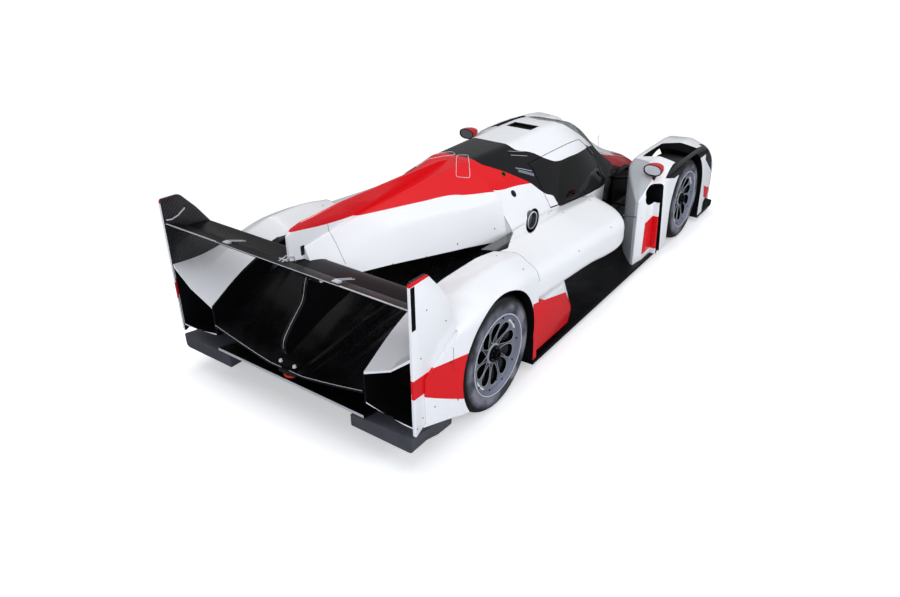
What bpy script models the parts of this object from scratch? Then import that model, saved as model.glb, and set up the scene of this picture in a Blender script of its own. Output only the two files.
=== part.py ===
"""Closed sports prototype race car: floor, tub, fenders, covers, wing, wheels, steering and doors.

Metres, +Z up. The car stands on its tyres at z = 0, its nose towards -Y, its right side towards -X.
The origin is on the ground in the middle of its length and width.
"""
import math

import bpy
import bmesh
from mathutils import Matrix, Vector

# Whole car
FRONT_END = -2.325
REAR_END = 2.325
SEAT = 0.0003

# Wheels: tyre, rim and where the axles are
TYRE_RADIUS = 0.355
TYRE_HALF_WIDTH = 0.155
BEAD_RADIUS = 0.2305
BEAD_HALF_WIDTH = 0.140
FLANGE_RADIUS = 0.248
RIM_WALL = 0.008
WHEEL_FACETS = 30
TRACK_HALF = 0.780
FRONT_AXLE = -1.385
REAR_AXLE = 1.583
SPOKES = 10
AXLE_RADIUS = 0.030
AXLE_CLEARANCE = 0.0008
FRONT_ARCH_RADIUS = 0.398
REAR_ARCH_RADIUS = 0.376
REAR_ARCH_SHIFT = 0.012

# Steering
KINGPIN_HALF = 0.760
KNUCKLE_HALF_HEIGHT = 0.150
KINGPIN_GAP = 0.0006
PLATE_INNER = 0.285
PLATE_OUTER = 0.336

# Floor, splitter and diffuser
FLOOR_BOTTOM = 0.045
FLOOR_TOP = 0.072
FLOOR_HALF_WIDTH = 0.912
FLOOR_FRONT = -0.930
FLOOR_REAR = 1.300
DIFFUSER_RISE = 0.190
DIFFUSER_HALF_WIDTH = 0.575
FENCES = 6
BODY_BOTTOM = FLOOR_TOP + SEAT

# Cockpit
TUB_FRONT = -1.200
TUB_REAR = 0.760
TUB_WALL = 0.030
CABIN_REAR = 0.360
SCREEN_LOW = 0.690
ABOVE_ROOF = 1.300
GLASS = 0.005
DOOR_GAP = 0.008
DOOR_FRONT = -0.700
DOOR_REAR = 0.235
DOOR_BOTTOM = 0.605
DOOR_BOTTOM_REAR = 0.714
DOOR_TOP = 1.000
DOOR_TOP_SLANT = 1.24
DOOR_FRONT_SLANT = 0.35
DOOR_FRONT_EXTRA = 0.013
DOOR_DATUM = 0.310
PILLAR_LOW = (-0.730, 0.800)
PILLAR_HIGH = (-0.560, 1.000)
HINGE_STANDOFF = 0.007
HINGE_RADIUS = 0.010
HINGE_CLEARANCE = 0.0008
HINGE_FACETS = 12

# Sidepods and engine cover
POD_INNER = 0.515
POD_FRONT = -0.330
POD_REAR = 1.150
COVER_FRONT = TUB_REAR + SEAT
COVER_REAR = 2.100
FIN_TOP = 1.135
FIN_HALF = 0.009
FIN_REAR = 2.203

# Engine and gearbox
ENGINE_REAR = 1.300
GEARBOX_REAR = 1.975
CRASH_BOX_LOW = 0.274

# Fenders
FENDER_INNER = 0.600
FENDER_OUTER = 0.945

# Wing, hung below the top of the fin
WING_HALF_SPAN = 0.896
WING_FRONT = 2.005
WING_BELOW_FIN = 0.255
WING_FRONT_HEIGHT = FIN_TOP - WING_BELOW_FIN
WING_CHORD = 0.200
FLAP_CHORD = 0.125
ENDPLATE = 0.016
ENDPLATE_SIDE = [(2.318, 0.250), (2.318, FIN_TOP - 0.015), (2.190, FIN_TOP - 0.019),
                 (2.092, WING_FRONT_HEIGHT + 0.124), (2.002, WING_FRONT_HEIGHT - 0.004), (1.965, 0.700),
                 (2.236, 0.560), (2.236, 0.290)]

# Exhaust outlet in each flank: centre (y, z), recess and pipe
EXHAUST = (0.493, 0.700)
EXHAUST_RECESS = 0.105
EXHAUST_FLOOR = 0.452
EXHAUST_PIPE = 0.066
EXHAUST_END = 0.500

# Tow ring below the crash box
TOW_RING = 0.045
TOW_ROD = 0.007

parts = bpy.data.collections.new("sports_prototype_race_car")
cutters = bpy.data.collections.new("cutters")


def finish(name, colour, roughness, metallic=0.0):
    made = bpy.data.materials.new(name)
    made.use_nodes = True
    shader = made.node_tree.nodes["Principled BSDF"]
    shader.inputs["Base Color"].default_value = (*colour, 1.0)
    shader.inputs["Roughness"].default_value = roughness
    shader.inputs["Metallic"].default_value = metallic
    made.diffuse_color = (*colour, 1.0)
    return made


def object_from(name, form, material):
    """A named object from a bmesh; a form without a material is a cutter."""
    bmesh.ops.recalc_face_normals(form, faces=form.faces)
    mesh = bpy.data.meshes.new(name)
    form.to_mesh(mesh)
    form.free()
    made = bpy.data.objects.new(name, mesh)
    if material is None:
        cutters.objects.link(made)
        made.hide_render = True
        made.display_type = "WIRE"
    else:
        parts.objects.link(made)
        mesh.materials.append(material)
    return made


def rounded_ring(corners, y):
    """Section across the car at station y. Each corner is (x, z, radius, arc steps)."""
    ring = []
    count = len(corners)
    for i, (x, z, radius, steps) in enumerate(corners):
        here = Vector((x, z))
        before = Vector(corners[i - 1][:2]) - here
        after = Vector(corners[(i + 1) % count][:2]) - here
        if steps == 0:
            ring.append(Vector((x, y, z)))
            continue
        half = before.angle(after) / 2
        reach = min(radius / math.tan(half), 0.45 * before.length, 0.45 * after.length)
        start = here + before.normalized() * reach
        end = here + after.normalized() * reach
        for k in range(steps + 1):
            t = k / steps
            point = start * (1 - t) ** 2 + here * 2 * t * (1 - t) + end * t * t
            ring.append(Vector((point.x, y, point.y)))
    return ring


def loft(name, rings, material=None):
    """A closed solid through rings that have equal numbers of points, in flat triangles."""
    form = bmesh.new()
    rows = [[form.verts.new(p) for p in ring] for ring in rings]
    count = len(rows[0])
    for a, b in zip(rows, rows[1:]):
        for i in range(count):
            j = (i + 1) % count
            if i < count // 2:
                form.faces.new((a[i], a[j], b[j]))
                form.faces.new((a[i], b[j], b[i]))
            else:
                form.faces.new((a[i], a[j], b[i]))
                form.faces.new((a[j], b[j], b[i]))
    form.faces.new(rows[0])
    form.faces.new(rows[-1])
    return object_from(name, form, material)


def prism(name, outline, along, low, high, material=None):
    """A flat outline pushed along one axis. The outline is in the other two axes, in XYZ order."""
    index = "XYZ".index(along)
    form = bmesh.new()
    corners = []
    for a, b in outline:
        point = [a, b]
        point.insert(index, low)
        corners.append(form.verts.new(point))
    face = form.faces.new(corners)
    moved = bmesh.ops.extrude_face_region(form, geom=[face])
    step = Vector([high - low if i == index else 0.0 for i in range(3)])
    tops = [item for item in moved["geom"] if isinstance(item, bmesh.types.BMVert)]
    bmesh.ops.translate(form, verts=tops, vec=step)
    return object_from(name, form, material)


def box(name, low, high, material=None):
    low, high = Vector(low), Vector(high)
    form = bmesh.new()
    size = Matrix.Diagonal((*(high - low), 1.0))
    bmesh.ops.create_cube(form, size=1.0, matrix=Matrix.Translation((low + high) / 2) @ size)
    return object_from(name, form, material)


def cylinder(name, start, end, radius, segments, material=None, end_radius=None):
    """A round bar between two points; end_radius makes it a cone."""
    start, end = Vector(start), Vector(end)
    run = end - start
    turn = Vector((0, 0, 1)).rotation_difference(run).to_matrix().to_4x4()
    form = bmesh.new()
    bmesh.ops.create_cone(form, cap_ends=True, segments=segments, radius1=radius,
                          radius2=radius if end_radius is None else end_radius, depth=run.length,
                          matrix=Matrix.Translation((start + end) / 2) @ turn)
    return object_from(name, form, material)


def boolean(target, tool, operation):
    step = target.modifiers.new(tool.name, "BOOLEAN")
    step.operation = operation
    step.object = tool
    step.solver = "EXACT"
    return target


def cut(target, *tools):
    for tool in tools:
        boolean(target, tool, "DIFFERENCE")
    return target


def join(target, *tools):
    for tool in tools:
        boolean(target, tool, "UNION")
    return target


def keep(target, tool):
    return boolean(target, tool, "INTERSECT")


def turned(name, profile, place, material):
    """A profile of (x, radius) pairs turned about the X axis, its flat facets resting level."""
    form = bmesh.new()
    points = [form.verts.new((x, 0.0, r)) for x, r in profile]
    for a, b in zip(points, points[1:]):
        form.edges.new((a, b))
    if profile[0][1] > 0:
        form.edges.new((points[-1], points[0]))
    mesh = bpy.data.meshes.new(name)
    form.to_mesh(mesh)
    form.free()
    mesh.materials.append(material)
    made = bpy.data.objects.new(name, mesh)
    parts.objects.link(made)
    made.location = place
    made.rotation_euler.x = math.pi / WHEEL_FACETS
    spin = made.modifiers.new("turn", "SCREW")
    spin.axis = "X"
    spin.steps = WHEEL_FACETS
    spin.render_steps = WHEEL_FACETS
    spin.use_merge_vertices = True
    spin.merge_threshold = 0.0001
    spin.use_normal_calculate = True
    return made


def grown(outline, gap):
    """The outline moved outwards by a gap on every side."""
    area = sum(a[0] * b[1] - b[0] * a[1] for a, b in zip(outline, outline[1:] + outline[:1]))
    turn = 1.0 if area > 0 else -1.0
    moved = []
    count = len(outline)
    for i in range(count):
        here = Vector(outline[i])
        back = (here - Vector(outline[i - 1])).normalized()
        ahead = (Vector(outline[(i + 1) % count]) - here).normalized()
        normals = Vector((back.y, -back.x)) * turn, Vector((ahead.y, -ahead.x)) * turn
        bisector = (normals[0] + normals[1]).normalized()
        shift = here + bisector * gap / max(0.3, bisector.dot(normals[0]))
        moved.append((shift.x, shift.y))
    return moved


def side_name(side):
    return "left" if side > 0 else "right"


def tyre(name, side, axle, rubber):
    """Slick tyre; the tread facets lie on the ground."""
    across = TYRE_HALF_WIDTH
    tread = TYRE_RADIUS / math.cos(math.pi / WHEEL_FACETS)
    profile = [(-BEAD_HALF_WIDTH, BEAD_RADIUS), (BEAD_HALF_WIDTH, BEAD_RADIUS)]
    shoulder = [(across, 0.296), (across - 0.006, 0.336), (across - 0.036, tread)]
    profile += shoulder
    profile += [(-x, r) for x, r in reversed(shoulder)]
    return turned(name, profile, (side * TRACK_HALF, axle, TYRE_RADIUS), rubber)


def rim(name, side, axle, metal):
    """Deep barrel with a ten-spoke face near its outer lip and a closed hub."""
    seat = BEAD_RADIUS - SEAT
    wall = seat - RIM_WALL
    bore = AXLE_RADIUS + AXLE_CLEARANCE
    lip = BEAD_HALF_WIDTH + 0.013
    face = [(0.136, 0.0), (0.136, 0.046), (0.104, 0.060), (0.112, wall - 0.004), (0.137, wall),
            (lip, FLANGE_RADIUS - 0.007)]
    outside = [(lip, FLANGE_RADIUS), (BEAD_HALF_WIDTH + 0.0004, seat)]
    inside = [(-x, r) for x, r in reversed(outside)]
    back = [(-lip + 0.010, wall), (0.082, wall), (0.066, 0.060), (0.040, 0.050)]
    hub = [(0.040, bore), (0.096, bore), (0.096, 0.0)]
    profile = [(side * x, r) for x, r in face + outside + inside + back + hub]
    place = (side * TRACK_HALF, axle, TYRE_RADIUS)
    made = turned(name, profile, place, metal)
    windows = bmesh.new()
    half_inner, half_outer = math.radians(8.0), math.radians(12.5)
    for k in range(SPOKES):
        middle = 2 * math.pi * k / SPOKES
        corners = [(middle - half_inner, 0.080), (middle - half_outer, 0.150), (middle - half_outer, 0.205),
                   (middle + half_outer, 0.205), (middle + half_outer, 0.150), (middle + half_inner, 0.080)]
        rows = []
        for x in (0.050, 0.160):
            rows.append([windows.verts.new((side * x, r * math.sin(a), r * math.cos(a)))
                         for a, r in corners])
        near, far = rows
        count = len(near)
        for i in range(count):
            j = (i + 1) % count
            windows.faces.new((near[i], near[j], far[j], far[i]))
        windows.faces.new(near)
        windows.faces.new(far)
    tool = object_from(name + "_windows", windows, None)
    tool.location = place
    cut(made, tool)
    return made


def plan_prism(name, half_outline, low, high, material):
    """A plate symmetric about the car's middle: half outline points are (x, y), front to rear."""
    outline = half_outline + [(-x, y) for x, y in reversed(half_outline) if x > 0]
    return prism(name, outline, "Z", low, high, material)


def floor(carbon):
    """Flat floor from behind the front wheels to the diffuser's throat."""
    half = [(0.0, FLOOR_FRONT), (0.560, FLOOR_FRONT), (0.640, FLOOR_FRONT + 0.015),
            (FLOOR_HALF_WIDTH - 0.05, FLOOR_FRONT + 0.03), (FLOOR_HALF_WIDTH, FLOOR_FRONT + 0.08),
            (FLOOR_HALF_WIDTH, POD_REAR), (FENDER_INNER - 0.02, POD_REAR + 0.02),
            (DIFFUSER_HALF_WIDTH, FLOOR_REAR), (0.0, FLOOR_REAR)]
    return plan_prism("floor", half, FLOOR_BOTTOM, FLOOR_TOP, carbon)


def diffuser(carbon):
    """Rising tunnel behind the floor, with end walls, strakes and the two tail boxes."""
    start = FLOOR_REAR + SEAT
    end = REAR_END
    thickness = 0.018
    rings = []
    for share in (0.0, 0.35, 0.70, 1.0):
        y = start + share * (end - start)
        low = FLOOR_BOTTOM + DIFFUSER_RISE * share ** 1.4
        half = DIFFUSER_HALF_WIDTH
        rings.append([Vector((half, y, low)), Vector((half, y, low + thickness)),
                      Vector((-half, y, low + thickness)), Vector((-half, y, low))])
    made = loft("diffuser", rings, carbon)
    fence_top = FLOOR_BOTTOM + 0.004
    edge = DIFFUSER_HALF_WIDTH - 0.013
    for k in range(FENCES):
        x = edge * (2 * k / (FENCES - 1) - 1)
        outline = [(start + 0.10, fence_top), (end - 0.30, fence_top), (end - 0.010, FLOOR_BOTTOM + DIFFUSER_RISE - 0.02),
                   (end - 0.010, FLOOR_BOTTOM + DIFFUSER_RISE + 0.006),
                   (start + 0.70, FLOOR_BOTTOM + 0.120), (start + 0.45, FLOOR_BOTTOM + 0.058)]
        join(made, prism(f"fence_{k}", outline, "X", x - 0.006, x + 0.006))
    for side in (1, -1):
        join(made, tail_box(side))
    return made


def tail_box(side):
    """Low box at each rear corner, between the diffuser's end and the endplate."""
    inner, outer = DIFFUSER_HALF_WIDTH - 0.095, WING_HALF_SPAN - 0.001
    rings = []
    for y, low, high in ((1.99, 0.110, 0.165), (2.20, 0.100, 0.205), (REAR_END, 0.100, 0.226)):
        shift = 0.045 if y > 2.1 else 0.0
        rings.append([Vector((side * outer, y, low + shift)), Vector((side * outer, y, high + 0.02)),
                      Vector((side * inner, y, high)), Vector((side * inner, y, low))])
    return loft(f"tail_box_{side_name(side)}", rings)


def splitter(carbon):
    """Front splitter plate, narrow between the front wheels."""
    narrow = 0.520
    rear = FLOOR_FRONT - SEAT
    wheel_front = FRONT_AXLE - FRONT_ARCH_RADIUS - 0.01
    half = [(0.0, FRONT_END), (0.300, FRONT_END + 0.010), (0.620, FRONT_END + 0.045),
            (0.820, FRONT_END + 0.110), (FENDER_OUTER, FRONT_END + 0.235),
            (FENDER_OUTER, wheel_front), (narrow, wheel_front), (narrow, rear), (0.0, rear)]
    return plan_prism("front_splitter", half, FLOOR_BOTTOM, FLOOR_TOP, carbon)


def read_off(stations, y):
    """One row of a station table at y, on a smooth curve through its rows."""
    last = len(stations) - 1
    i = max(0, min(last - 1, sum(1 for row in stations if row[0] <= y) - 1))
    a, b = stations[i], stations[i + 1]
    run = b[0] - a[0]
    t = min(1.0, max(0.0, (y - a[0]) / run))
    made = [y]
    for column in range(1, len(a)):
        slopes = []
        for j in (i, i + 1):
            low, here, high = stations[max(j - 1, 0)], stations[j], stations[min(j + 1, last)]
            turns = (high[column] - here[column]) * (here[column] - low[column]) < 1e-9 and 0 < j < last
            slopes.append(0.0 if turns else (high[column] - low[column]) / (high[0] - low[0]) * run)
        p, q = a[column], b[column]
        bend = (2 * t ** 3 - 3 * t ** 2 + 1) * p + (3 * t ** 2 - 2 * t ** 3) * q
        made.append(bend + (t ** 3 - 2 * t ** 2 + t) * slopes[0] + (t ** 3 - t ** 2) * slopes[1])
    return tuple(made)


def fair(stations, per_gap=2):
    """The table with rows added between its stations, so that the lofted skin curves."""
    rows = []
    for a, b in zip(stations, stations[1:]):
        rows += [read_off(stations, a[0] + (b[0] - a[0]) * k / per_gap) for k in range(per_gap)]
    return rows + [tuple(stations[-1])]


# Hull stations: y, half width at sill, half width at belt, belt height, half width at roof rail,
# rail height, roof height, underside
COCKPIT = [
    (TUB_FRONT, 0.300, 0.335, 0.600, 0.160, 0.700, 0.795, BODY_BOTTOM),
    (-1.050, 0.340, 0.385, 0.610, 0.205, 0.775, 0.885, BODY_BOTTOM),
    (-0.900, 0.380, 0.430, 0.622, 0.250, 0.840, 0.970, BODY_BOTTOM),
    (-0.700, 0.430, 0.475, 0.640, 0.300, 0.905, 1.060, BODY_BOTTOM),
    (-0.450, 0.475, 0.500, 0.655, 0.340, 0.950, 1.115, BODY_BOTTOM),
    (-0.150, 0.495, 0.508, 0.670, 0.350, 0.965, 1.122, BODY_BOTTOM),
    (0.250, 0.500, 0.510, 0.695, 0.335, 0.978, 1.118, BODY_BOTTOM),
    (TUB_REAR, 0.490, 0.500, 0.720, 0.300, 0.985, 1.120, BODY_BOTTOM),
]

# Nose stations, the same columns
NOSE = [
    (-2.290, 0.120, 0.150, 0.190, 0.090, 0.215, 0.232, 0.150),
    (-2.180, 0.175, 0.210, 0.240, 0.130, 0.310, 0.340, 0.120),
    (-1.950, 0.220, 0.255, 0.330, 0.160, 0.425, 0.460, 0.095),
    (-1.600, 0.262, 0.292, 0.450, 0.175, 0.545, 0.590, BODY_BOTTOM),
    (-1.380, 0.285, 0.317, 0.540, 0.165, 0.625, 0.690, BODY_BOTTOM),
    (TUB_FRONT - SEAT, 0.300, 0.335, 0.600, 0.160, 0.700, 0.795, BODY_BOTTOM),
]


def hull_ring(station, inset, steps=(1, 2, 2, 1)):
    """Hull section, sunk by the inset; steps are the arc steps at sill, belt, rail and crown."""
    y, sill, belt, belt_height, rail, rail_height, roof, low = station
    crown = rail * 0.45
    half = [(sill - inset, low + inset, 0.03, steps[0]),
            (belt - inset, belt_height, 0.10, steps[1]),
            (rail - inset * 0.8, rail_height - inset * 0.6, 0.12, steps[2]),
            (crown, roof - inset, 0.10, steps[3])]
    corners = half + [(-x, z, r, n) for x, z, r, n in reversed(half)]
    return rounded_ring(corners, y)


def between(stations, y):
    """One row read straight off a station table at y."""
    for a, b in zip(stations, stations[1:]):
        if a[0] <= y <= b[0]:
            t = (y - a[0]) / (b[0] - a[0])
            return (y,) + tuple(p + (q - p) * t for p, q in zip(a[1:], b[1:]))
    end = stations[-1] if y > stations[-1][0] else stations[0]
    return (y,) + tuple(end[1:])


def hull_solid(name, inset, start, end, material=None, steps=(1, 2, 2, 1)):
    inner = [s for s in COCKPIT if start + 0.02 < s[0] < end - 0.02]
    rows = [between(COCKPIT, start)] + inner + [between(COCKPIT, end)]
    return loft(name, [hull_ring(row, inset, steps) for row in rows], material)


def skin_point(y, z, inset):
    """The point of the hull's left flank at y and z, sunk by the inset."""
    ring = hull_ring(between(COCKPIT, y), inset)
    crossings = []
    for a, b in zip(ring, ring[1:] + ring[:1]):
        if (a.z - z) * (b.z - z) <= 0 and abs(a.z - b.z) > 1e-9:
            crossings.append(a.x + (b.x - a.x) * (z - a.z) / (b.z - a.z))
    return Vector((max(crossings), y, z))


DOOR_WINDOW = [(DOOR_FRONT + 0.045, DOOR_BOTTOM + 0.027), (DOOR_REAR - 0.12, DOOR_BOTTOM_REAR + 0.008),
               (DOOR_REAR - 0.355, DOOR_TOP - 0.085), (DOOR_FRONT + 0.120, DOOR_TOP - 0.105),
               (DOOR_FRONT + 0.035, DOOR_TOP - 0.200)]


def door_outline(x):
    """Door seen from the side at distance x from the middle, as (y, z). Its front edge runs down the
    windscreen pillar; its top and lower front faces slant so that they open away from the tub."""
    out = x - DOOR_DATUM
    along = (PILLAR_HIGH[0] - PILLAR_LOW[0]) / (PILLAR_HIGH[1] - PILLAR_LOW[1])
    rise = out * DOOR_TOP_SLANT
    return [(DOOR_FRONT - out * DOOR_FRONT_SLANT, DOOR_BOTTOM), (DOOR_REAR, DOOR_BOTTOM_REAR),
            (DOOR_REAR + 0.01, DOOR_TOP + rise), (PILLAR_HIGH[0] + rise * along, PILLAR_HIGH[1] + rise), PILLAR_LOW]


def door_block(name, side, gap):
    """The solid that the door is cut from, or with a gap the room for it."""
    rings = []
    for x in (0.180, 0.800):
        outline = door_outline(x)
        if gap:
            outline = grown(outline, gap)
            outline[0] = (outline[0][0] - DOOR_FRONT_EXTRA, outline[0][1])
            outline[4] = (outline[4][0] - DOOR_FRONT_EXTRA / 4, outline[4][1])
        rings.append([Vector((side * x, y, z)) for y, z in outline])
    return loft(name, rings)


def hinge_line():
    """A point and a direction: along the gap at the door's front edge, just outside the skin."""
    rise = Vector((PILLAR_HIGH[0] - PILLAR_LOW[0], PILLAR_HIGH[1] - PILLAR_LOW[1]))
    ahead = Vector((-rise.y, rise.x)).normalized() * DOOR_GAP / 2
    ends = []
    for share in (0.0, 0.6):
        y, z = PILLAR_LOW[0] + ahead.x + rise.x * share, PILLAR_LOW[1] + ahead.y + rise.y * share
        ends.append(skin_point(y, z, -HINGE_STANDOFF))
    return ends[0], (ends[1] - ends[0]).normalized()


def hinge_bar(name, side, low, high, radius):
    """Round bar on the door's hinge axis between two distances from the hinge's low point."""
    start, direction = hinge_line()
    ends = [start + direction * along for along in (low, high)]
    return cylinder(name, *[(side * p.x, p.y, p.z) for p in ends], radius, HINGE_FACETS)


def hinge_leaf(name, side, along, behind):
    """Short arm from a barrel into the skin behind the hinge line, or with a minus sign ahead of it."""
    start, direction = hinge_line()
    rise = Vector((PILLAR_HIGH[0] - PILLAR_LOW[0], PILLAR_HIGH[1] - PILLAR_LOW[1])).normalized()
    barrel = start + direction * along
    foot = skin_point(barrel.y + rise.y * behind, barrel.z - rise.x * behind, 0.010)
    return cylinder(name, *[(side * p.x, p.y, p.z) for p in (barrel, foot)], HINGE_RADIUS * 0.7, 8)


def hinge(tub, door, side):
    """Three barrels in line: the middle one belongs to the door, the outer two to the tub."""
    name = side_name(side)
    wide = (HINGE_RADIUS + HINGE_CLEARANCE) / math.cos(math.pi / HINGE_FACETS)
    for low, high, owner, other in ((0.040, 0.070, tub, door), (0.070, 0.110, door, tub), (0.110, 0.140, tub, door)):
        gap = HINGE_CLEARANCE / 2
        cut(other, hinge_bar(f"hinge_room_{name}_{low:.3f}", side, low - gap, high + gap, wide))
        join(owner, hinge_bar(f"hinge_barrel_{name}_{low:.3f}", side, low + gap, high - gap, HINGE_RADIUS))
        behind = 0.018 if owner == door else -0.018
        join(owner, hinge_leaf(f"hinge_leaf_{name}_{low:.3f}", side, (low + high) / 2, behind))


def windscreen_outline():
    """Windscreen seen from above, as (x, y)."""
    half = [(0.0, TUB_FRONT + 0.055), (0.145, TUB_FRONT + 0.062), (0.275, -0.860), (0.205, -0.610),
            (0.150, -0.470), (0.0, -0.430)]
    return half + [(-x, y) for x, y in reversed(half) if x > 0]


def exhaust_bar(name, side, radius, start, end, material=None):
    """Round bar across the car on the exhaust's centre line, out of the flank."""
    y, z = EXHAUST
    return cylinder(name, (side * start, y, z), (side * end, y, z), radius, 20, material)


def exhaust(side, metal):
    """Short round outlet that stands in the flank's recess."""
    name = side_name(side)
    made = exhaust_bar(f"exhaust_{name}", side, EXHAUST_PIPE, EXHAUST_FLOOR + SEAT, EXHAUST_END, metal)
    cut(made, exhaust_bar(f"exhaust_bore_{name}", side, EXHAUST_PIPE - 0.005, EXHAUST_FLOOR + 0.012, EXHAUST_END + 0.02))
    return made


def cockpit(carbon, paint, glass):
    """Hollow tub with its doors, door windows and windscreen, all cut from one outer form."""
    tub = hull_solid("tub", 0.0, TUB_FRONT, TUB_REAR, carbon)
    cut(tub, hull_solid("cabin_space", TUB_WALL, TUB_FRONT + 0.10, CABIN_REAR, None, (0, 1, 1, 0)))
    cut(tub, prism("windscreen_opening", grown(windscreen_outline(), SEAT), "Z", SCREEN_LOW, ABOVE_ROOF))
    cut(tub, box("roof_inlet", (-0.100, -0.240, COCKPIT[5][6] - 0.020), (0.100, -0.130, ABOVE_ROOF)))
    screen = hull_solid("windscreen", 0.0, TUB_FRONT, TUB_REAR, glass)
    cut(screen, hull_solid("windscreen_inside", GLASS, TUB_FRONT - 0.001, TUB_REAR + 0.001))
    keep(screen, prism("windscreen_edge", windscreen_outline(), "Z", SCREEN_LOW + SEAT, ABOVE_ROOF))
    for side in (1, -1):
        name = side_name(side)
        cut(tub, door_block(f"door_opening_{name}", side, DOOR_GAP))
        cut(tub, exhaust_bar(f"exhaust_recess_{name}", side, EXHAUST_RECESS, EXHAUST_FLOOR, 0.60))
        door = hull_solid(f"door_{name}", 0.0, TUB_FRONT, TUB_REAR, paint)
        cut(door, hull_solid(f"door_inside_{name}", TUB_WALL * 0.6, TUB_FRONT - 0.001, TUB_REAR + 0.001))
        low, high = sorted((side * 0.120, side * 0.800))
        keep(door, door_block(f"door_edge_{name}", side, 0.0))
        cut(door, prism(f"window_opening_{name}", grown(DOOR_WINDOW, SEAT), "X", low, high))
        hinge(tub, door, side)
        pane = hull_solid(f"door_window_{name}", 0.0, TUB_FRONT, TUB_REAR, glass)
        cut(pane, hull_solid(f"pane_inside_{name}", GLASS, TUB_FRONT - 0.001, TUB_REAR + 0.001))
        keep(pane, prism(f"pane_edge_{name}", DOOR_WINDOW, "X", low, high))
    return tub


def nose(paint):
    made = loft("nose", [hull_ring(row, 0.0) for row in NOSE], paint)
    for side in (1, -1):
        cut(made, suspension_plate(f"plate_rebate_{side_name(side)}", side, SEAT))
    return made


# Fender stations: y, inner x beyond FENDER_INNER, outer x short of FENDER_OUTER, underside,
# foot of the inner wall, inner top, crown, outer top, corner radius
FRONT_FENDER = [
    (-2.235, -0.060, 0.085, BODY_BOTTOM, 0.110, 0.290, 0.295, 0.250, 0.05),
    (-2.120, -0.050, 0.020, BODY_BOTTOM, 0.110, 0.510, 0.520, 0.470, 0.07),
    (-1.920, -0.035, 0.003, BODY_BOTTOM, 0.110, 0.715, 0.730, 0.665, 0.09),
    (-1.700, -0.025, 0.000, BODY_BOTTOM, 0.110, 0.772, 0.785, 0.720, 0.09),
    (-1.500, -0.015, 0.000, BODY_BOTTOM, 0.110, 0.780, 0.793, 0.735, 0.09),
    (-1.250, -0.010, 0.000, BODY_BOTTOM, 0.130, 0.785, 0.800, 0.740, 0.09),
    (-1.000, -0.008, 0.000, BODY_BOTTOM, 0.190, 0.780, 0.795, 0.735, 0.09),
    (-0.840, 0.020, 0.002, BODY_BOTTOM, 0.300, 0.760, 0.785, 0.705, 0.09),
    (-0.700, 0.088, 0.030, BODY_BOTTOM, 0.370, 0.715, 0.745, 0.655, 0.07),
    (-0.580, 0.170, 0.060, BODY_BOTTOM, 0.350, 0.660, 0.680, 0.615, 0.05),
    (-0.480, 0.245, 0.073, BODY_BOTTOM, 0.300, 0.600, 0.605, 0.580, 0.01),
]

# Rear fender stations, the same columns
REAR_FENDER = [
    (POD_REAR + SEAT, -0.020, 0.012, 0.112, 0.150, 0.745, 0.785, 0.700, 0.10),
    (1.350, -0.020, 0.002, 0.112, 0.150, 0.770, 0.815, 0.745, 0.10),
    (1.600, -0.020, 0.000, 0.120, 0.160, 0.770, 0.820, 0.755, 0.10),
    (1.850, -0.020, 0.000, 0.150, 0.190, 0.735, 0.775, 0.715, 0.07),
    (2.080, -0.020, 0.015, 0.225, 0.260, 0.650, 0.700, 0.700, 0.03),
    (REAR_END - 0.012, -0.020, 0.033, 0.300, 0.330, 0.520, 0.600, 0.725, 0.01),
]


def fender_ring(station, side):
    y, inner, outer, low, foot, inner_top, crown_top, outer_top, radius = station
    inner += FENDER_INNER
    outer = FENDER_OUTER - outer
    crown = (inner + outer) / 2 + 0.02
    sole = max(inner + 0.004, outer - 0.045 - (foot - low) * 0.9)
    corners = [(sole, low, 0, 0), (outer, low, 0, 0), (outer, outer_top, radius, 2), (crown, crown_top, radius, 1),
               (inner, inner_top, radius * 0.5, 1), (inner, foot, 0, 0)]
    return rounded_ring([(side * x, z, r, n) for x, z, r, n in corners], y)


def wheel_space(name, side, axle, height, radius, inner):
    return cylinder(name, (side * inner, axle, height), (side * 1.05, axle, height), radius, 40)


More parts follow.
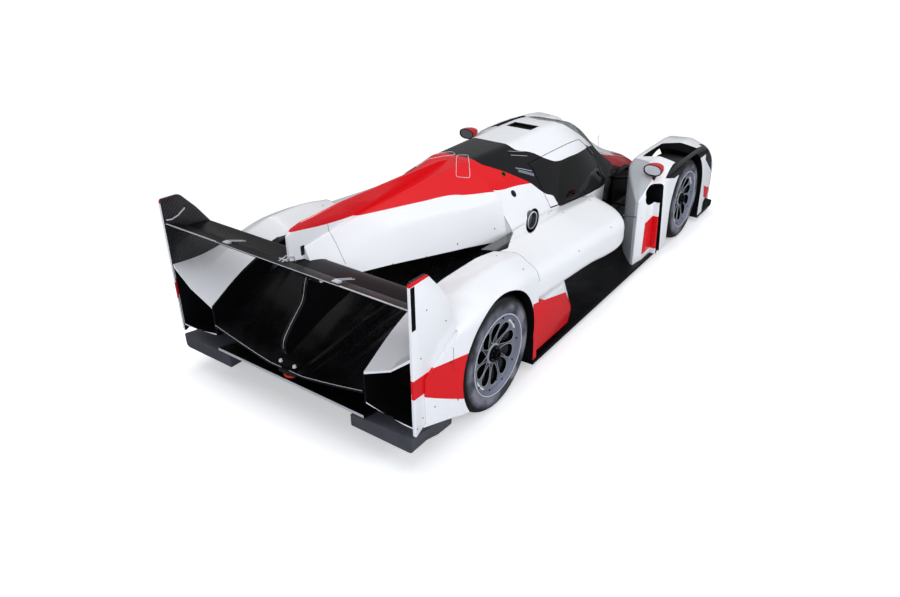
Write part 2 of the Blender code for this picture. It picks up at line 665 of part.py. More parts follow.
def front_fender(side, paint):
    """Arch over the front wheel, open below, with the vent above the tyre and a tail like a boat's."""
    name = side_name(side)
    made = loft(f"front_fender_{name}", [fender_ring(s, side) for s in FRONT_FENDER], paint)
    cut(made, wheel_space(f"front_arch_{name}", side, FRONT_AXLE, TYRE_RADIUS, FRONT_ARCH_RADIUS, 0.45))
    inner, outer = FENDER_INNER + 0.055, FENDER_OUTER - 0.022
    slot = [(side * inner, -1.460), (side * outer, -1.640), (side * outer, -1.120), (side * inner, -1.010)]
    cut(made, prism(f"front_vent_{name}", slot, "Z", 0.60, 1.00))
    below = FRONT_AXLE - FRONT_ARCH_RADIUS, FRONT_AXLE + FRONT_ARCH_RADIUS
    low, high = sorted((side * 0.45, side * 1.05))
    cut(made, box(f"front_gap_{name}", (low, below[0], 0.0), (high, below[1], TYRE_RADIUS)))
    skin = FENDER_OUTER - 0.055
    channel = [(-0.830, 0.0), (-0.745, 0.0), (-0.735, 0.600), (-0.790, 0.600)]
    low, high = sorted((side * (FENDER_OUTER - 0.150), side * 1.05))
    cut(made, prism(f"wake_channel_{name}", channel, "X", low, high))
    low, high = sorted((side * skin, side * 1.05))
    cut(made, prism(f"tail_step_{name}", [(-0.780, 0.0), (-0.40, 0.0), (-0.40, 0.640), (-0.760, 0.640)], "X", low, high))
    hole = [(-0.790, 0.470), (-0.640, 0.490), (-0.600, 0.560), (-0.640, 0.635), (-0.740, 0.655), (-0.790, 0.610)]
    low, high = sorted((side * (FENDER_OUTER - 0.170), side * 1.05))
    cut(made, prism(f"wake_outlet_{name}", hole, "X", low, high))
    cut(made, mirror_foot(f"mirror_socket_{name}", side, SEAT), lens_zone(f"lamp_opening_{name}", side, SEAT))
    return made


def rear_fender(side, paint):
    """Arch over the rear wheel; its hollow tail carries the endplate."""
    name = side_name(side)
    made = loft(f"rear_fender_{name}", [fender_ring(s, side) for s in fair(REAR_FENDER)], paint)
    axle = REAR_AXLE - REAR_ARCH_SHIFT
    cut(made, wheel_space(f"rear_arch_{name}", side, axle, TYRE_RADIUS + 0.004, REAR_ARCH_RADIUS, 0.45))
    low, high = sorted((side * 0.45, side * 1.05))
    cut(made, box(f"rear_gap_{name}", (low, axle - REAR_ARCH_RADIUS, 0.0), (high, axle + 0.28, TYRE_RADIUS - 0.08)))
    rings = []
    for y, bottom, top_in, top_out in ((2.060, 0.270, 0.520, 0.600), (REAR_END + 0.02, 0.330, 0.490, 0.570)):
        rings.append([Vector((side * x, y, z)) for x, z in
                      ((FENDER_INNER, bottom), (WING_HALF_SPAN - 0.016, bottom), (WING_HALF_SPAN - 0.016, top_out),
                       (FENDER_INNER, top_in))])
    cut(made, loft(f"tail_hollow_{name}", rings))
    rebate = grown(ENDPLATE_SIDE, SEAT)
    low, high = sorted((side * WING_HALF_SPAN, side * 1.05))
    cut(made, prism(f"endplate_rebate_{name}", rebate, "X", low, high))
    return made


# Sidepod stations: y, outer x short of FENDER_OUTER, underside outside, underside inside, inner top, outer top
SIDEPOD = [
    (POD_FRONT, 0.280, 0.430, 0.330, 0.630, 0.600),
    (-0.240, 0.125, 0.405, 0.310, 0.655, 0.600),
    (-0.140, 0.035, 0.385, 0.295, 0.668, 0.600),
    (-0.040, 0.014, 0.372, 0.280, 0.678, 0.605),
    (0.150, 0.013, 0.385, 0.250, 0.698, 0.620),
    (0.400, 0.012, 0.425, 0.200, 0.725, 0.640),
    (0.780, 0.012, 0.455, 0.160, 0.735, 0.670),
    (POD_REAR, 0.012, 0.480, 0.120, 0.745, 0.700),
]


def sidepod(side, paint):
    """Waisted pod beside the tub; a lower panel closes it ahead of the rear wheel."""
    name = side_name(side)
    rings = []
    inner = POD_INNER
    for y, short, low_out, low_in, top_in, top_out in SIDEPOD:
        outer = FENDER_OUTER - short
        reach = outer - inner
        corners = [(inner, low_in, 0, 0), (outer - 0.35 * reach, low_out - 0.025, 0.05, 1),
                   (outer, low_out + 0.035, 0.06, 2), (outer, top_out, 0.10, 3),
                   (inner + 0.25 * reach, top_in + 0.012, 0.10, 2), (inner, top_in - 0.01, 0, 0)]
        rings.append(rounded_ring([(side * x, z, r, n) for x, z, r, n in corners], y))
    made = loft(f"sidepod_{name}", rings, paint)
    lower = []
    for z, front, short in ((0.112, 0.600, 0.048), (0.180, 0.585, 0.040), (0.300, 0.660, 0.024), (0.480, 0.760, 0.014)):
        outer = FENDER_OUTER - short
        lower.append([Vector((side * inner, front + 0.03, z)), Vector((side * (outer - 0.09), front, z)),
                      Vector((side * (outer - 0.02), front + 0.02, z)), Vector((side * outer, front + 0.07, z)),
                      Vector((side * outer, POD_REAR, z)), Vector((side * inner, POD_REAR, z))])
    join(made, loft(f"sidepod_lower_{name}", lower))
    base = [(0.20, BODY_BOTTOM), (POD_REAR, BODY_BOTTOM), (POD_REAR, 0.30), (0.0, 0.34)]
    low, high = sorted((side * inner, side * (inner + 0.06)))
    join(made, prism(f"sidepod_keel_{name}", base, "X", low, high))
    mouth = [[Vector((side * a, y, c)) for a, c in ((inner + 0.045, 0.420), (inner + 0.045 + wide, 0.440),
                                                    (inner + 0.045 + wide, 0.545), (inner + 0.045, 0.580))]
             for y, wide in ((POD_FRONT - 0.05, 0.090), (-0.20, 0.160), (POD_FRONT + 0.35, 0.200))]
    cut(made, loft(f"sidepod_inlet_{name}", mouth))
    return made


# Engine cover stations: y, half width at lower edge, lower edge height, half width at shoulder,
# shoulder below the fin's top, half width under the fin, height there below the fin's top
COVER = [
    (COVER_FRONT, 0.480, 0.650, 0.400, 0.205, 0.130, 0.015),
    (1.050, 0.400, 0.690, 0.310, 0.205, 0.090, 0.045),
    (1.350, 0.310, 0.720, 0.215, 0.205, 0.055, 0.075),
    (1.700, 0.215, 0.760, 0.130, 0.215, 0.030, 0.105),
    (COVER_REAR, 0.100, 0.790, 0.050, 0.235, 0.014, 0.155),
]
SPINE = [(1.60, 0.62), (1.60, 0.80), (2.06, 0.86), (2.11, 0.78), (2.14, 0.67), (2.255, 0.56), (2.315, 0.49),
         (2.315, 0.400), (2.00, 0.52)]
SPINE_HALF = 0.020


def engine_cover(paint):
    """Cover that narrows to the tail and carries the tall centre fin and the spine below the wing."""
    rings = []
    for y, low_half, low, mid_half, mid, top_half, top in fair(COVER):
        side = [(low_half, low, 0, 0), (mid_half, FIN_TOP - mid, 0.10, 2), (top_half, FIN_TOP - top, 0.04, 1)]
        rings.append(rounded_ring(side + [(-x, z, r, n) for x, z, r, n in reversed(side)], y))
    made = loft("engine_cover", rings, paint)
    fin = [(COVER_FRONT + 0.001, FIN_TOP - 0.185), (COVER_FRONT + 0.001, FIN_TOP - 0.02), (0.90, FIN_TOP),
           (1.80, FIN_TOP), (2.10, FIN_TOP - 0.015), (FIN_REAR, FIN_TOP - 0.045), (FIN_REAR + 0.002, FIN_TOP - 0.198),
           (COVER_REAR - 0.05, FIN_TOP - 0.235)]
    join(made, prism("fin", fin, "X", -FIN_HALF, FIN_HALF))
    join(made, prism("spine", SPINE, "X", -SPINE_HALF, SPINE_HALF))
    cut(made, wing_form("wing_slot", 0.0015, 0.30))
    return made


def rear_deck(carbon):
    """Dark deck between the rear fenders, falling to a lip above the crash box."""
    # Deck stations: y, height at the middle, height at the sides, half width
    narrow, wide = POD_INNER - SEAT, FENDER_INNER - 0.020 - SEAT
    step = POD_REAR + SEAT
    stations = [(COVER_FRONT, 0.600, 0.600, narrow), (step, 0.600, 0.635, narrow), (step + 0.001, 0.600, 0.635, wide),
                (1.58, 0.560, 0.640, wide), (1.90, 0.470, 0.560, wide), (2.12, 0.385, 0.475, wide),
                (REAR_END - 0.003, 0.318, 0.405, wide)]
    thickness = 0.012
    rings = []
    for y, middle, outer, half in stations:
        top = [(-half, outer), (-0.45, middle + (outer - middle) * 0.62), (-0.30, middle + (outer - middle) * 0.28),
               (-0.12, middle), (0.12, middle), (0.30, middle + (outer - middle) * 0.28),
               (0.45, middle + (outer - middle) * 0.62), (half, outer)]
        ring = [Vector((x, y, z)) for x, z in top]
        ring += [Vector((x, y, z - thickness)) for x, z in reversed(top)]
        rings.append(ring)
    made = loft("rear_deck", rings, carbon)
    cut(made, prism("spine_room", grown(SPINE, SEAT), "X", -SPINE_HALF - SEAT, SPINE_HALF + SEAT))
    return made


def wing_section(front, height, chord, tilt, thickness, grow):
    """Cambered section as (y, z): round nose at the front, thin edge at the rear."""
    points = []
    steps = 7
    for k in range(steps + 1):
        t = k / steps
        points.append((t, thickness * 1.9 * math.sqrt(t) * (1 - t) + 0.002 + grow))
    for k in range(steps, -1, -1):
        t = k / steps
        points.append((t, -thickness * 2.6 * math.sqrt(t) * (1 - t) - 0.001 - grow))
    turn = math.radians(tilt)
    made = []
    for t, rise in points:
        along = front + t * chord * math.cos(turn) - rise * math.sin(turn)
        made.append((along + (t - 0.5) * 2 * grow, height + t * chord * math.sin(turn) + rise * math.cos(turn)))
    return made


def wing_form(name, grow, half_span, material=None):
    outline = wing_section(WING_FRONT, WING_FRONT_HEIGHT, WING_CHORD, 9.0, 0.016, grow)
    return prism(name, outline, "X", -half_span, half_span, material)


def wing(carbon):
    made = wing_form("wing_main", 0.0, WING_HALF_SPAN, carbon)
    front = WING_FRONT + WING_CHORD * 0.97
    outline = wing_section(front, WING_FRONT_HEIGHT + 0.046, FLAP_CHORD, 20.0, 0.008, 0.0)
    prism("wing_flap", outline, "X", -WING_HALF_SPAN, WING_HALF_SPAN, carbon)
    return made


def endplate(side, paint):
    """Side plate of the wing, standing on the tail of the rear fender."""
    name = side_name(side)
    inner = side * (WING_HALF_SPAN + SEAT)
    outer = side * (WING_HALF_SPAN + SEAT + ENDPLATE)
    return prism(f"endplate_{name}", ENDPLATE_SIDE, "X", *sorted((inner, outer)), paint)


def crash_box(carbon):
    """Tail crash structure below the deck's lip."""
    stations = [(GEARBOX_REAR + SEAT, 0.080, CRASH_BOX_LOW, 0.372), (REAR_END - 0.012, 0.070, CRASH_BOX_LOW, 0.300)]
    made = loft("crash_box", [[Vector((x, y, z)) for x, z in ((-w, low), (w, low), (w, high), (-w, high))]
                              for y, w, low, high in stations], carbon)
    return made


def tow_ring(steel):
    """Towing eye: a flat ring that points rearwards from a lug under the crash box."""
    reach = TOW_RING + TOW_ROD
    place = Vector((0.0, REAR_END - 0.003 - reach, CRASH_BOX_LOW - SEAT - TOW_ROD))
    lug = place.y - TOW_RING
    made = box("tow_ring", (-0.018, lug - 0.030, place.z - TOW_ROD), (0.018, lug + 0.002, place.z + TOW_ROD), steel)
    form = bmesh.new()
    around, across = 16, 6
    rows = []
    for i in range(around):
        turn = 2 * math.pi * i / around
        out = Vector((math.cos(turn), math.sin(turn), 0.0))
        rows.append([form.verts.new(place + out * (TOW_RING + TOW_ROD * 0.9 * math.cos(2 * math.pi * j / across))
                                    + Vector((0.0, 0.0, TOW_ROD * 0.9 * math.sin(2 * math.pi * j / across))))
                     for j in range(across)])
    for i in range(around):
        near, far = rows[i], rows[(i + 1) % around]
        for j in range(across):
            k = (j + 1) % across
            form.faces.new((near[j], near[k], far[k], far[j]))
    join(made, object_from("tow_loop", form, None))
    return made


MIRROR = (0.872, -0.690, 0.797)


def mirror_foot(name, side, grow):
    x, y, z = side * MIRROR[0], MIRROR[1], MIRROR[2]
    return box(name, (x - 0.008 - grow, y - 0.090 - grow, z - 0.140 - grow), (x + 0.008 + grow, y - 0.040 + grow, z))


def mirror(side, paint):
    """Rear-view mirror on a foot that stands in the front fender."""
    name = side_name(side)
    x, y, z = side * MIRROR[0], MIRROR[1], MIRROR[2]
    rings = []
    for dy, w, h in ((-0.130, 0.024, 0.014), (-0.060, 0.066, 0.038), (0.0, 0.074, 0.046)):
        corners = [(x - w, z - h, 0.02, 1), (x + w, z - h, 0.02, 1), (x + w, z + h, 0.02, 1), (x - w, z + h, 0.02, 1)]
        rings.append(rounded_ring(corners, y + dy))
    made = loft(f"mirror_{name}", rings, paint)
    join(made, mirror_foot(f"mirror_foot_{name}", side, 0.0))
    return made


def lens_zone(name, side, grow):
    low, high = sorted((side * (0.640 - grow), side * (0.880 + grow)))
    return box(name, (low, -2.300, 0.280 - grow), (high, -2.020 + grow, 0.440 + grow))


def headlight(side, lens):
    """Lamp block set flush in the front of the fender."""
    name = side_name(side)
    made = loft(f"headlight_{name}", [fender_ring(s, side) for s in FRONT_FENDER], lens)
    keep(made, lens_zone(f"lamp_edge_{name}", side, 0.0))
    return made


def engine(metal):
    """The engine as one plain block."""
    made = box("engine", (-0.22, COVER_FRONT, BODY_BOTTOM), (0.22, ENGINE_REAR, 0.540), metal)
    return made


def seat(fabric):
    base = BODY_BOTTOM + TUB_WALL + SEAT
    outline = [(-0.50, base), (0.02, base), (0.29, 0.62), (0.23, 0.66), (-0.08, 0.235), (-0.38, 0.225),
               (-0.50, 0.26)]
    return prism("seat", outline, "X", -0.20, 0.20, fabric)


def dashboard(plastic):
    """Dash bulkhead with the steering wheel on its column."""
    made = box("dashboard", (-0.600, -0.690, 0.480), (0.600, -0.610, 0.585), plastic)
    keep(made, hull_solid("dashboard_edge", TUB_WALL + 0.0009, TUB_FRONT + 0.10, CABIN_REAR))
    join(made, cylinder("column", (0, -0.65, 0.54), (0, -0.44, 0.60), 0.020, 10))
    join(made, box("steering_grip", (-0.135, -0.455, 0.525), (0.135, -0.420, 0.675)))
    return made


def knuckle(side, metal):
    """Front upright: block on the kingpin, stub axle for the hub, arm for the track rod."""
    name = side_name(side)
    x = side * KINGPIN_HALF
    z = TYRE_RADIUS
    half = KNUCKLE_HALF_HEIGHT
    low, high = sorted((x - side * 0.022, x + side * 0.022))
    body = half - 0.022
    made = box(f"knuckle_front_{name}", (low, FRONT_AXLE - 0.045, z - body), (high, FRONT_AXLE + 0.045, z + body), metal)
    join(made, cylinder(f"kingpin_{name}", (x, FRONT_AXLE, z - half), (x, FRONT_AXLE, z + half), 0.018, 12))
    end = side * (TRACK_HALF + 0.0945)
    join(made, cylinder(f"stub_front_{name}", (x, FRONT_AXLE, z), (end, FRONT_AXLE, z), AXLE_RADIUS, 16))
    low, high = sorted((x - side * 0.018, x + side * 0.010))
    join(made, box(f"arm_{name}", (low, FRONT_AXLE + 0.04, z - 0.02), (high, FRONT_AXLE + 0.120, z + 0.02)))
    return made


def a_arm(name, inner_points, outer, radius):
    """Wishbone legs from the chassis to one outer joint, as bars to be joined."""
    return [cylinder(f"{name}_{i}", p, outer, radius, 8) for i, p in enumerate(inner_points)]


def suspension_plate(name, side, grow, material=None):
    """Inboard pickup plate on the nose's flank."""
    low, high = sorted((side * (PLATE_INNER - grow), side * (PLATE_OUTER + grow)))
    return box(name, (low, FRONT_AXLE - 0.180 - grow, 0.220 - grow), (high, FRONT_AXLE + 0.180 + grow, 0.500 + grow),
               material)


def front_suspension(side, metal):
    """Upper and lower wishbones from a pickup plate out to the joints above and below the knuckle."""
    name = side_name(side)
    made = suspension_plate(f"front_suspension_{name}", side, 0.0, metal)
    x = side * KINGPIN_HALF
    for level in (1, -1):
        near = TYRE_RADIUS + level * (KNUCKLE_HALF_HEIGHT + KINGPIN_GAP)
        far = near + level * 0.026
        join(made, cylinder(f"joint_{name}_{level:+d}", (x, FRONT_AXLE, near), (x, FRONT_AXLE, far), 0.020, 12))
        outer = (x, FRONT_AXLE, (near + far) / 2)
        inner = [(side * (PLATE_OUTER - 0.005), FRONT_AXLE + dy, TYRE_RADIUS + level * 0.115) for dy in (-0.150, 0.150)]
        join(made, *a_arm(f"front_arm_{name}_{level:+d}", inner, outer, 0.011))
    return made


def rear_suspension(metal):
    """Gearbox case with wishbones, uprights, drive shafts and stub axles."""
    case = [(ENGINE_REAR + SEAT, 0.190), (GEARBOX_REAR, 0.190), (GEARBOX_REAR, 0.405), (1.80, 0.440),
            (ENGINE_REAR + SEAT, 0.500)]
    made = prism("rear_suspension", case, "X", -0.140, 0.140, metal)
    z = TYRE_RADIUS
    for side in (1, -1):
        name = side_name(side)
        x = side * (TRACK_HALF - 0.02)
        low, high = sorted((x - side * 0.022, x + side * 0.022))
        join(made, box(f"rear_upright_{name}", (low, REAR_AXLE - 0.05, z - 0.16), (high, REAR_AXLE + 0.05, z + 0.16)))
        join(made, cylinder(f"drive_shaft_{name}", (0, REAR_AXLE, z), (side * (TRACK_HALF + 0.0945), REAR_AXLE, z),
                            AXLE_RADIUS, 16))
        for level, spread in ((0.14, 0.15), (-0.14, 0.20)):
            outer = (x, REAR_AXLE, z + level)
            inner = [(side * 0.12, REAR_AXLE - spread, z + level * 0.4), (side * 0.12, REAR_AXLE + spread, z + level * 0.4)]
            join(made, *a_arm(f"rear_arm_{name}_{level:+.2f}", inner, outer, 0.012))
    return made


def build():
    for old in list(bpy.data.objects):
        bpy.data.objects.remove(old)
    for collection in (parts, cutters):
        bpy.context.scene.collection.children.link(collection)
    white = finish("white_paint", (0.82, 0.83, 0.85), 0.25)
    red = finish("red_paint", (0.70, 0.02, 0.03), 0.25)
    carbon = finish("carbon_fibre", (0.012, 0.012, 0.014), 0.40)
    rubber = finish("tyre_rubber", (0.020, 0.020, 0.022), 0.65)
    anodised = finish("anodised_rim", (0.20, 0.21, 0.23), 0.35, 0.9)
    steel = finish("suspension_steel", (0.35, 0.35, 0.37), 0.40, 0.9)
    glass = finish("tinted_glass", (0.02, 0.02, 0.03), 0.05)
    lens = finish("lamp_lens", (0.55, 0.58, 0.60), 0.08)
    fabric = finish("seat_fabric", (0.03, 0.03, 0.03), 0.85)

    floor(carbon)
    diffuser(carbon)
    splitter(carbon)
    cockpit(white, white, glass)
    nose(red)
    engine_cover(white)
    rear_deck(carbon)
    wing(carbon)
    crash_box(carbon)
    tow_ring(red)
    engine(steel)
    seat(fabric)
    dashboard(carbon)
    rear_suspension(steel)
    for side in (1, -1):
        name = side_name(side)
        front_fender(side, white)
        rear_fender(side, white)
        sidepod(side, white)
        endplate(side, white)
        exhaust(side, steel)
        mirror(side, red)
        headlight(side, lens)
        knuckle(side, steel)
        front_suspension(side, steel)
        for end, axle in (("front", FRONT_AXLE), ("rear", REAR_AXLE)):
            tyre(f"tyre_{end}_{name}", side, axle, rubber)
            rim(f"rim_{end}_{name}", side, axle, anodised)


build()
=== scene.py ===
"""Closed sports prototype race car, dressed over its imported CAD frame.

Metres, +Z up, nose towards -Y, the car's right side towards -X. The painted panels are drawn here again from
the same named stations as the solids, with many more rows, so that their skins curve; each one stands where
its node is. Paint schemes, weave, stripes, seams and fittings belong to this file.
"""
from math import ceil, copysign, cos, exp, pi, radians, sin, sqrt, tan

import bmesh
import bpy
from mathutils import Matrix, Vector
from mathutils.bvhtree import BVHTree


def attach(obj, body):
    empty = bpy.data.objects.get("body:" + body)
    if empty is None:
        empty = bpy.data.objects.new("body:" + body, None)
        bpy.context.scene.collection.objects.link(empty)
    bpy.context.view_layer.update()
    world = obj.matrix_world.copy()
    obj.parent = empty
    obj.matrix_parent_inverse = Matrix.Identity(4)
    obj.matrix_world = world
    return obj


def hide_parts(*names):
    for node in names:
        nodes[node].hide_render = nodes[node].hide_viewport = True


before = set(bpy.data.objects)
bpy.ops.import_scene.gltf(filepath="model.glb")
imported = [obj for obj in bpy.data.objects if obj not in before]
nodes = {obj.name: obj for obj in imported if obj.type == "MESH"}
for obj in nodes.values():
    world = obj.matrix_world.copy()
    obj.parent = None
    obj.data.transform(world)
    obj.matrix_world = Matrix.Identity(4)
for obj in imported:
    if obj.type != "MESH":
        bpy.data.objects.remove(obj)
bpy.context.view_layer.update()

# The same sizes as the solids have
TYRE_RADIUS = 0.355
TYRE_HALF_WIDTH = 0.155
TRACK_HALF = 0.78
FRONT_AXLE = -1.385
REAR_AXLE = 1.583
BEAD_RADIUS = 0.2305
BEAD_HALF_WIDTH = 0.14
FLANGE_RADIUS = 0.248
SEAT = 0.0003
BODY_BOTTOM = 0.0723
FENDER_INNER = 0.6
FENDER_OUTER = 0.945
POD_INNER = 0.515
POD_FRONT = -0.33
POD_REAR = 1.15
TUB_FRONT = -1.2
TUB_REAR = 0.76
TUB_WALL = 0.03
CABIN_REAR = 0.36
COVER_FRONT = TUB_REAR + SEAT
COVER_REAR = 2.1
FIN_TOP = 1.135
FIN_HALF = 0.009
FIN_REAR = 2.203
REAR_END = 2.325
WING_HALF_SPAN = 0.896
WING_FRONT = 2.005
WING_FRONT_HEIGHT = FIN_TOP - 0.255
EXHAUST = (0.493, 0.7)
EXHAUST_MOUTH = 0.5
FRONT_ARCH = 0.398
REAR_ARCH = 0.376
PAST_FLANK = 1.05
WING_CHORD = 0.2
WING_TILT = 9.0
WING_THICKNESS = 0.016
FLAP_TILT = 20.0
SPINE_HALF = 0.02
ENDPLATE_THICKNESS = 0.016
ROOF_MIDDLE = 1.122

# Widths and heads of what is laid on the skins
JOINT_WIDTH = 0.0022
FENDER_SCREW = 0.0048
LAID_STEP = 0.012
PANEL_SCREW = 0.0052


def linear(code):
    """sRGB hex to linear colour."""
    made = []
    for k in (1, 3, 5):
        c = int(code[k:k + 2], 16) / 255
        made.append(c / 12.92 if c <= 0.04045 else ((c + 0.055) / 1.055) ** 2.4)
    return (*made, 1.0)


def plug(tree, node, sockets):
    """Fills sockets: an output, or a node by its first live output, is linked, and a plain value is typed."""
    for key, value in sockets.items():
        if isinstance(value, bpy.types.Node):
            value = next(output for output in value.outputs if output.enabled)
        if isinstance(value, bpy.types.NodeSocket):
            tree.links.new(node.inputs[key], value)
        else:
            node.inputs[key].default_value = value


def add(tree, kind, sockets=None, **settings):
    """One shader node with its settings, its links and the values typed on its sockets."""
    made = tree.nodes.new("ShaderNode" + kind)
    for key, value in settings.items():
        setattr(made, key, value)
    plug(tree, made, sockets or {})
    return made


def new_material(name, values):
    """A material with one shader, values typed straight on its sockets, and the piece's own coordinates."""
    made = bpy.data.materials.new(name)
    made.use_nodes = True
    tree = made.node_tree
    shader = tree.nodes["Principled BSDF"]
    plug(tree, shader, values)
    made.diffuse_color = values["Base Color"]
    return made, tree, shader, add(tree, "TexCoord").outputs["Object"]


def placed(name, data):
    """An object of its own in the scene."""
    made = bpy.data.objects.new(name, data)
    bpy.context.scene.collection.objects.link(made)
    return made


# Camera and light

SENSOR = 36.0
FRAME_WIDTH = 900


def photo_camera():
    """Long-side view from behind the right rear wheel, from above, as the photograph has it."""
    yaw, pitch, roll = (radians(v) for v in (-56.2234, -26.1491, 0.3737))
    ahead = Vector((cos(yaw) * cos(pitch), sin(yaw) * cos(pitch), sin(pitch)))
    right = Vector((sin(yaw), -cos(yaw), 0.0))
    up = right.cross(ahead)
    turned_right = right * cos(roll) + up * sin(roll)
    turned_up = up * cos(roll) - right * sin(roll)
    data = bpy.data.cameras.new("photo_camera")
    data.sensor_fit = "HORIZONTAL"
    data.sensor_width = SENSOR
    data.lens = SENSOR * 739.93 / FRAME_WIDTH
    data.shift_x = (450.0 - 479.01) / FRAME_WIDTH
    data.shift_y = (265.18 - 298.5) / FRAME_WIDTH
    data.clip_end = 200.0
    camera = placed("photo_camera", data)
    turn = Matrix((turned_right, turned_up, -ahead)).transposed().to_4x4()
    camera.matrix_world = Matrix.Translation((-2.7897, 4.5687, 2.6451)) @ turn
    bpy.context.scene.camera = camera


def soft_lamp(name, place, target, size, power, colour, mirrored_in_gloss=True):
    data = bpy.data.lights.new(name, "AREA")
    data.shape = "RECTANGLE"
    data.size, data.size_y = size
    data.energy = power
    data.color = linear(colour)[:3]
    lamp = placed(name, data)
    lamp.location = place
    lamp.rotation_euler = (Vector(target) - Vector(place)).to_track_quat("-Z", "Y").to_euler()
    lamp.visible_glossy = mirrored_in_gloss


def studio():
    """White sweep and pale floor: the floor keeps a faint shadow, deepened by a painted shadow over the car's
    footprint, and gloss sees it dimmer than the eye.
    """
    world = bpy.data.worlds.new("studio_white")
    bpy.context.scene.world = world
    world.use_nodes = True
    tree = world.node_tree
    tree.nodes.clear()
    path = add(tree, "LightPath")
    seen = add(tree, "Math", {0: path.outputs["Is Camera Ray"], 1: path.outputs["Is Transmission Ray"]},
        operation="MAXIMUM")
    lit = add(tree, "Background", {"Color": linear("#e9edf2"), "Strength": 0.34})
    gloss = add(tree, "Background", {"Color": linear("#f4f6fa"), "Strength": 0.3})
    white = add(tree, "Background", {"Color": (1, 1, 1, 1), "Strength": 1.0})
    first = add(tree, "MixShader", {0: path.outputs["Is Glossy Ray"], 1: lit, 2: gloss})
    second = add(tree, "MixShader", {0: seen, 1: first, 2: white})
    add(tree, "OutputWorld", {"Surface": second}, is_active_output=True)

    mesh = bpy.data.meshes.new("studio_floor")
    reach = 60.0
    mesh.from_pydata([(-reach, -reach, 0), (reach, -reach, 0), (reach, reach, 0), (-reach, reach, 0)], [],
        [(0, 1, 2, 3)])
    floor = placed("studio_floor", mesh)
    made = bpy.data.materials.new("studio_paper")
    made.use_nodes = True
    tree = made.node_tree
    tree.nodes.clear()
    path = add(tree, "LightPath")
    place = add(tree, "TexCoord")
    moved = add(tree, "VectorMath", {0: place.outputs["Object"], 1: (0.07, -0.03, 0.0)}, operation="ADD")
    # The glow is dimmed over the car's footprint, set a little to the car's right, as a painted shadow; past
    # it the floor brightens, then turns to plain white
    either = add(tree, "VectorMath", {0: moved}, operation="ABSOLUTE")
    past = add(tree, "VectorMath", {0: either, 1: (0.9, 2.28, 0.0)}, operation="SUBTRACT")
    beyond = add(tree, "VectorMath", {0: past, 1: (0.0, 0.0, 0.0)}, operation="MAXIMUM")
    away = add(tree, "VectorMath", {0: beyond}, operation="LENGTH")
    glow_with_painted_shadow = add(tree, "MapRange", {0: away, 1: 0.0, 2: 0.2, 3: 0.36, 4: 0.62})
    sweep = add(tree, "MapRange", {0: away, 1: 0.7, 2: 1.6, 3: 0.0, 4: 1.0})
    paper = add(tree, "BsdfDiffuse", {"Color": linear("#f2f3f5")})
    glow = add(tree, "Emission", {"Color": (1, 1, 1, 1), "Strength": glow_with_painted_shadow})
    near = add(tree, "AddShader", {0: paper, 1: glow})
    plain = add(tree, "Emission", {"Color": (1, 1, 1, 1), "Strength": 1.0})
    both = add(tree, "MixShader", {0: sweep, 1: near, 2: plain})
    shown = add(tree, "Math", {0: path.outputs["Is Camera Ray"], 1: path.outputs["Is Transmission Ray"]},
        operation="MAXIMUM")
    dim = add(tree, "BsdfDiffuse", {"Color": linear("#6e6f72")})
    unseen = add(tree, "MixShader", {0: path.outputs["Is Glossy Ray"], 1: paper, 2: dim})
    mix = add(tree, "MixShader", {0: shown, 1: unseen, 2: both})
    add(tree, "OutputMaterial", {"Surface": mix})
    mesh.materials.append(made)

    soft_lamp("overhead_bank", (0.0, 0.3, 5.2), (0.0, 0.0, 0.0), (7.0, 9.0), 175.0, "#ffffff", False)
    soft_lamp("rear_bank", (-3.4, 7.0, 3.4), (0.0, 1.0, 0.4), (4.0, 3.0), 165.0, "#f6f8ff", False)
    soft_lamp("right_bank", (-6.5, -1.0, 3.0), (0.0, -0.4, 0.4), (5.0, 2.6), 165.0, "#f8fbff", False)
    soft_lamp("left_bank", (6.5, 0.5, 3.4), (0.0, 0.0, 0.5), (5.0, 2.6), 50.0, "#f8fbff", False)
    soft_lamp("right_strip", (-2.6, -0.6, 4.2), (0.0, -0.3, 0.6), (0.35, 6.0), 16.0, "#ffffff")
    soft_lamp("left_strip", (2.6, -0.6, 4.2), (0.0, -0.3, 0.6), (0.35, 6.0), 16.0, "#ffffff")


bpy.context.scene.view_settings.view_transform = "Standard"
photo_camera()
studio()


# Finishes

# Carbon yarn is 2 mm wide and seat thread 0.5 mm; both are drawn coarser, so that they show
YARN_WIDTH = 0.007
THREAD_WIDTH = 0.003


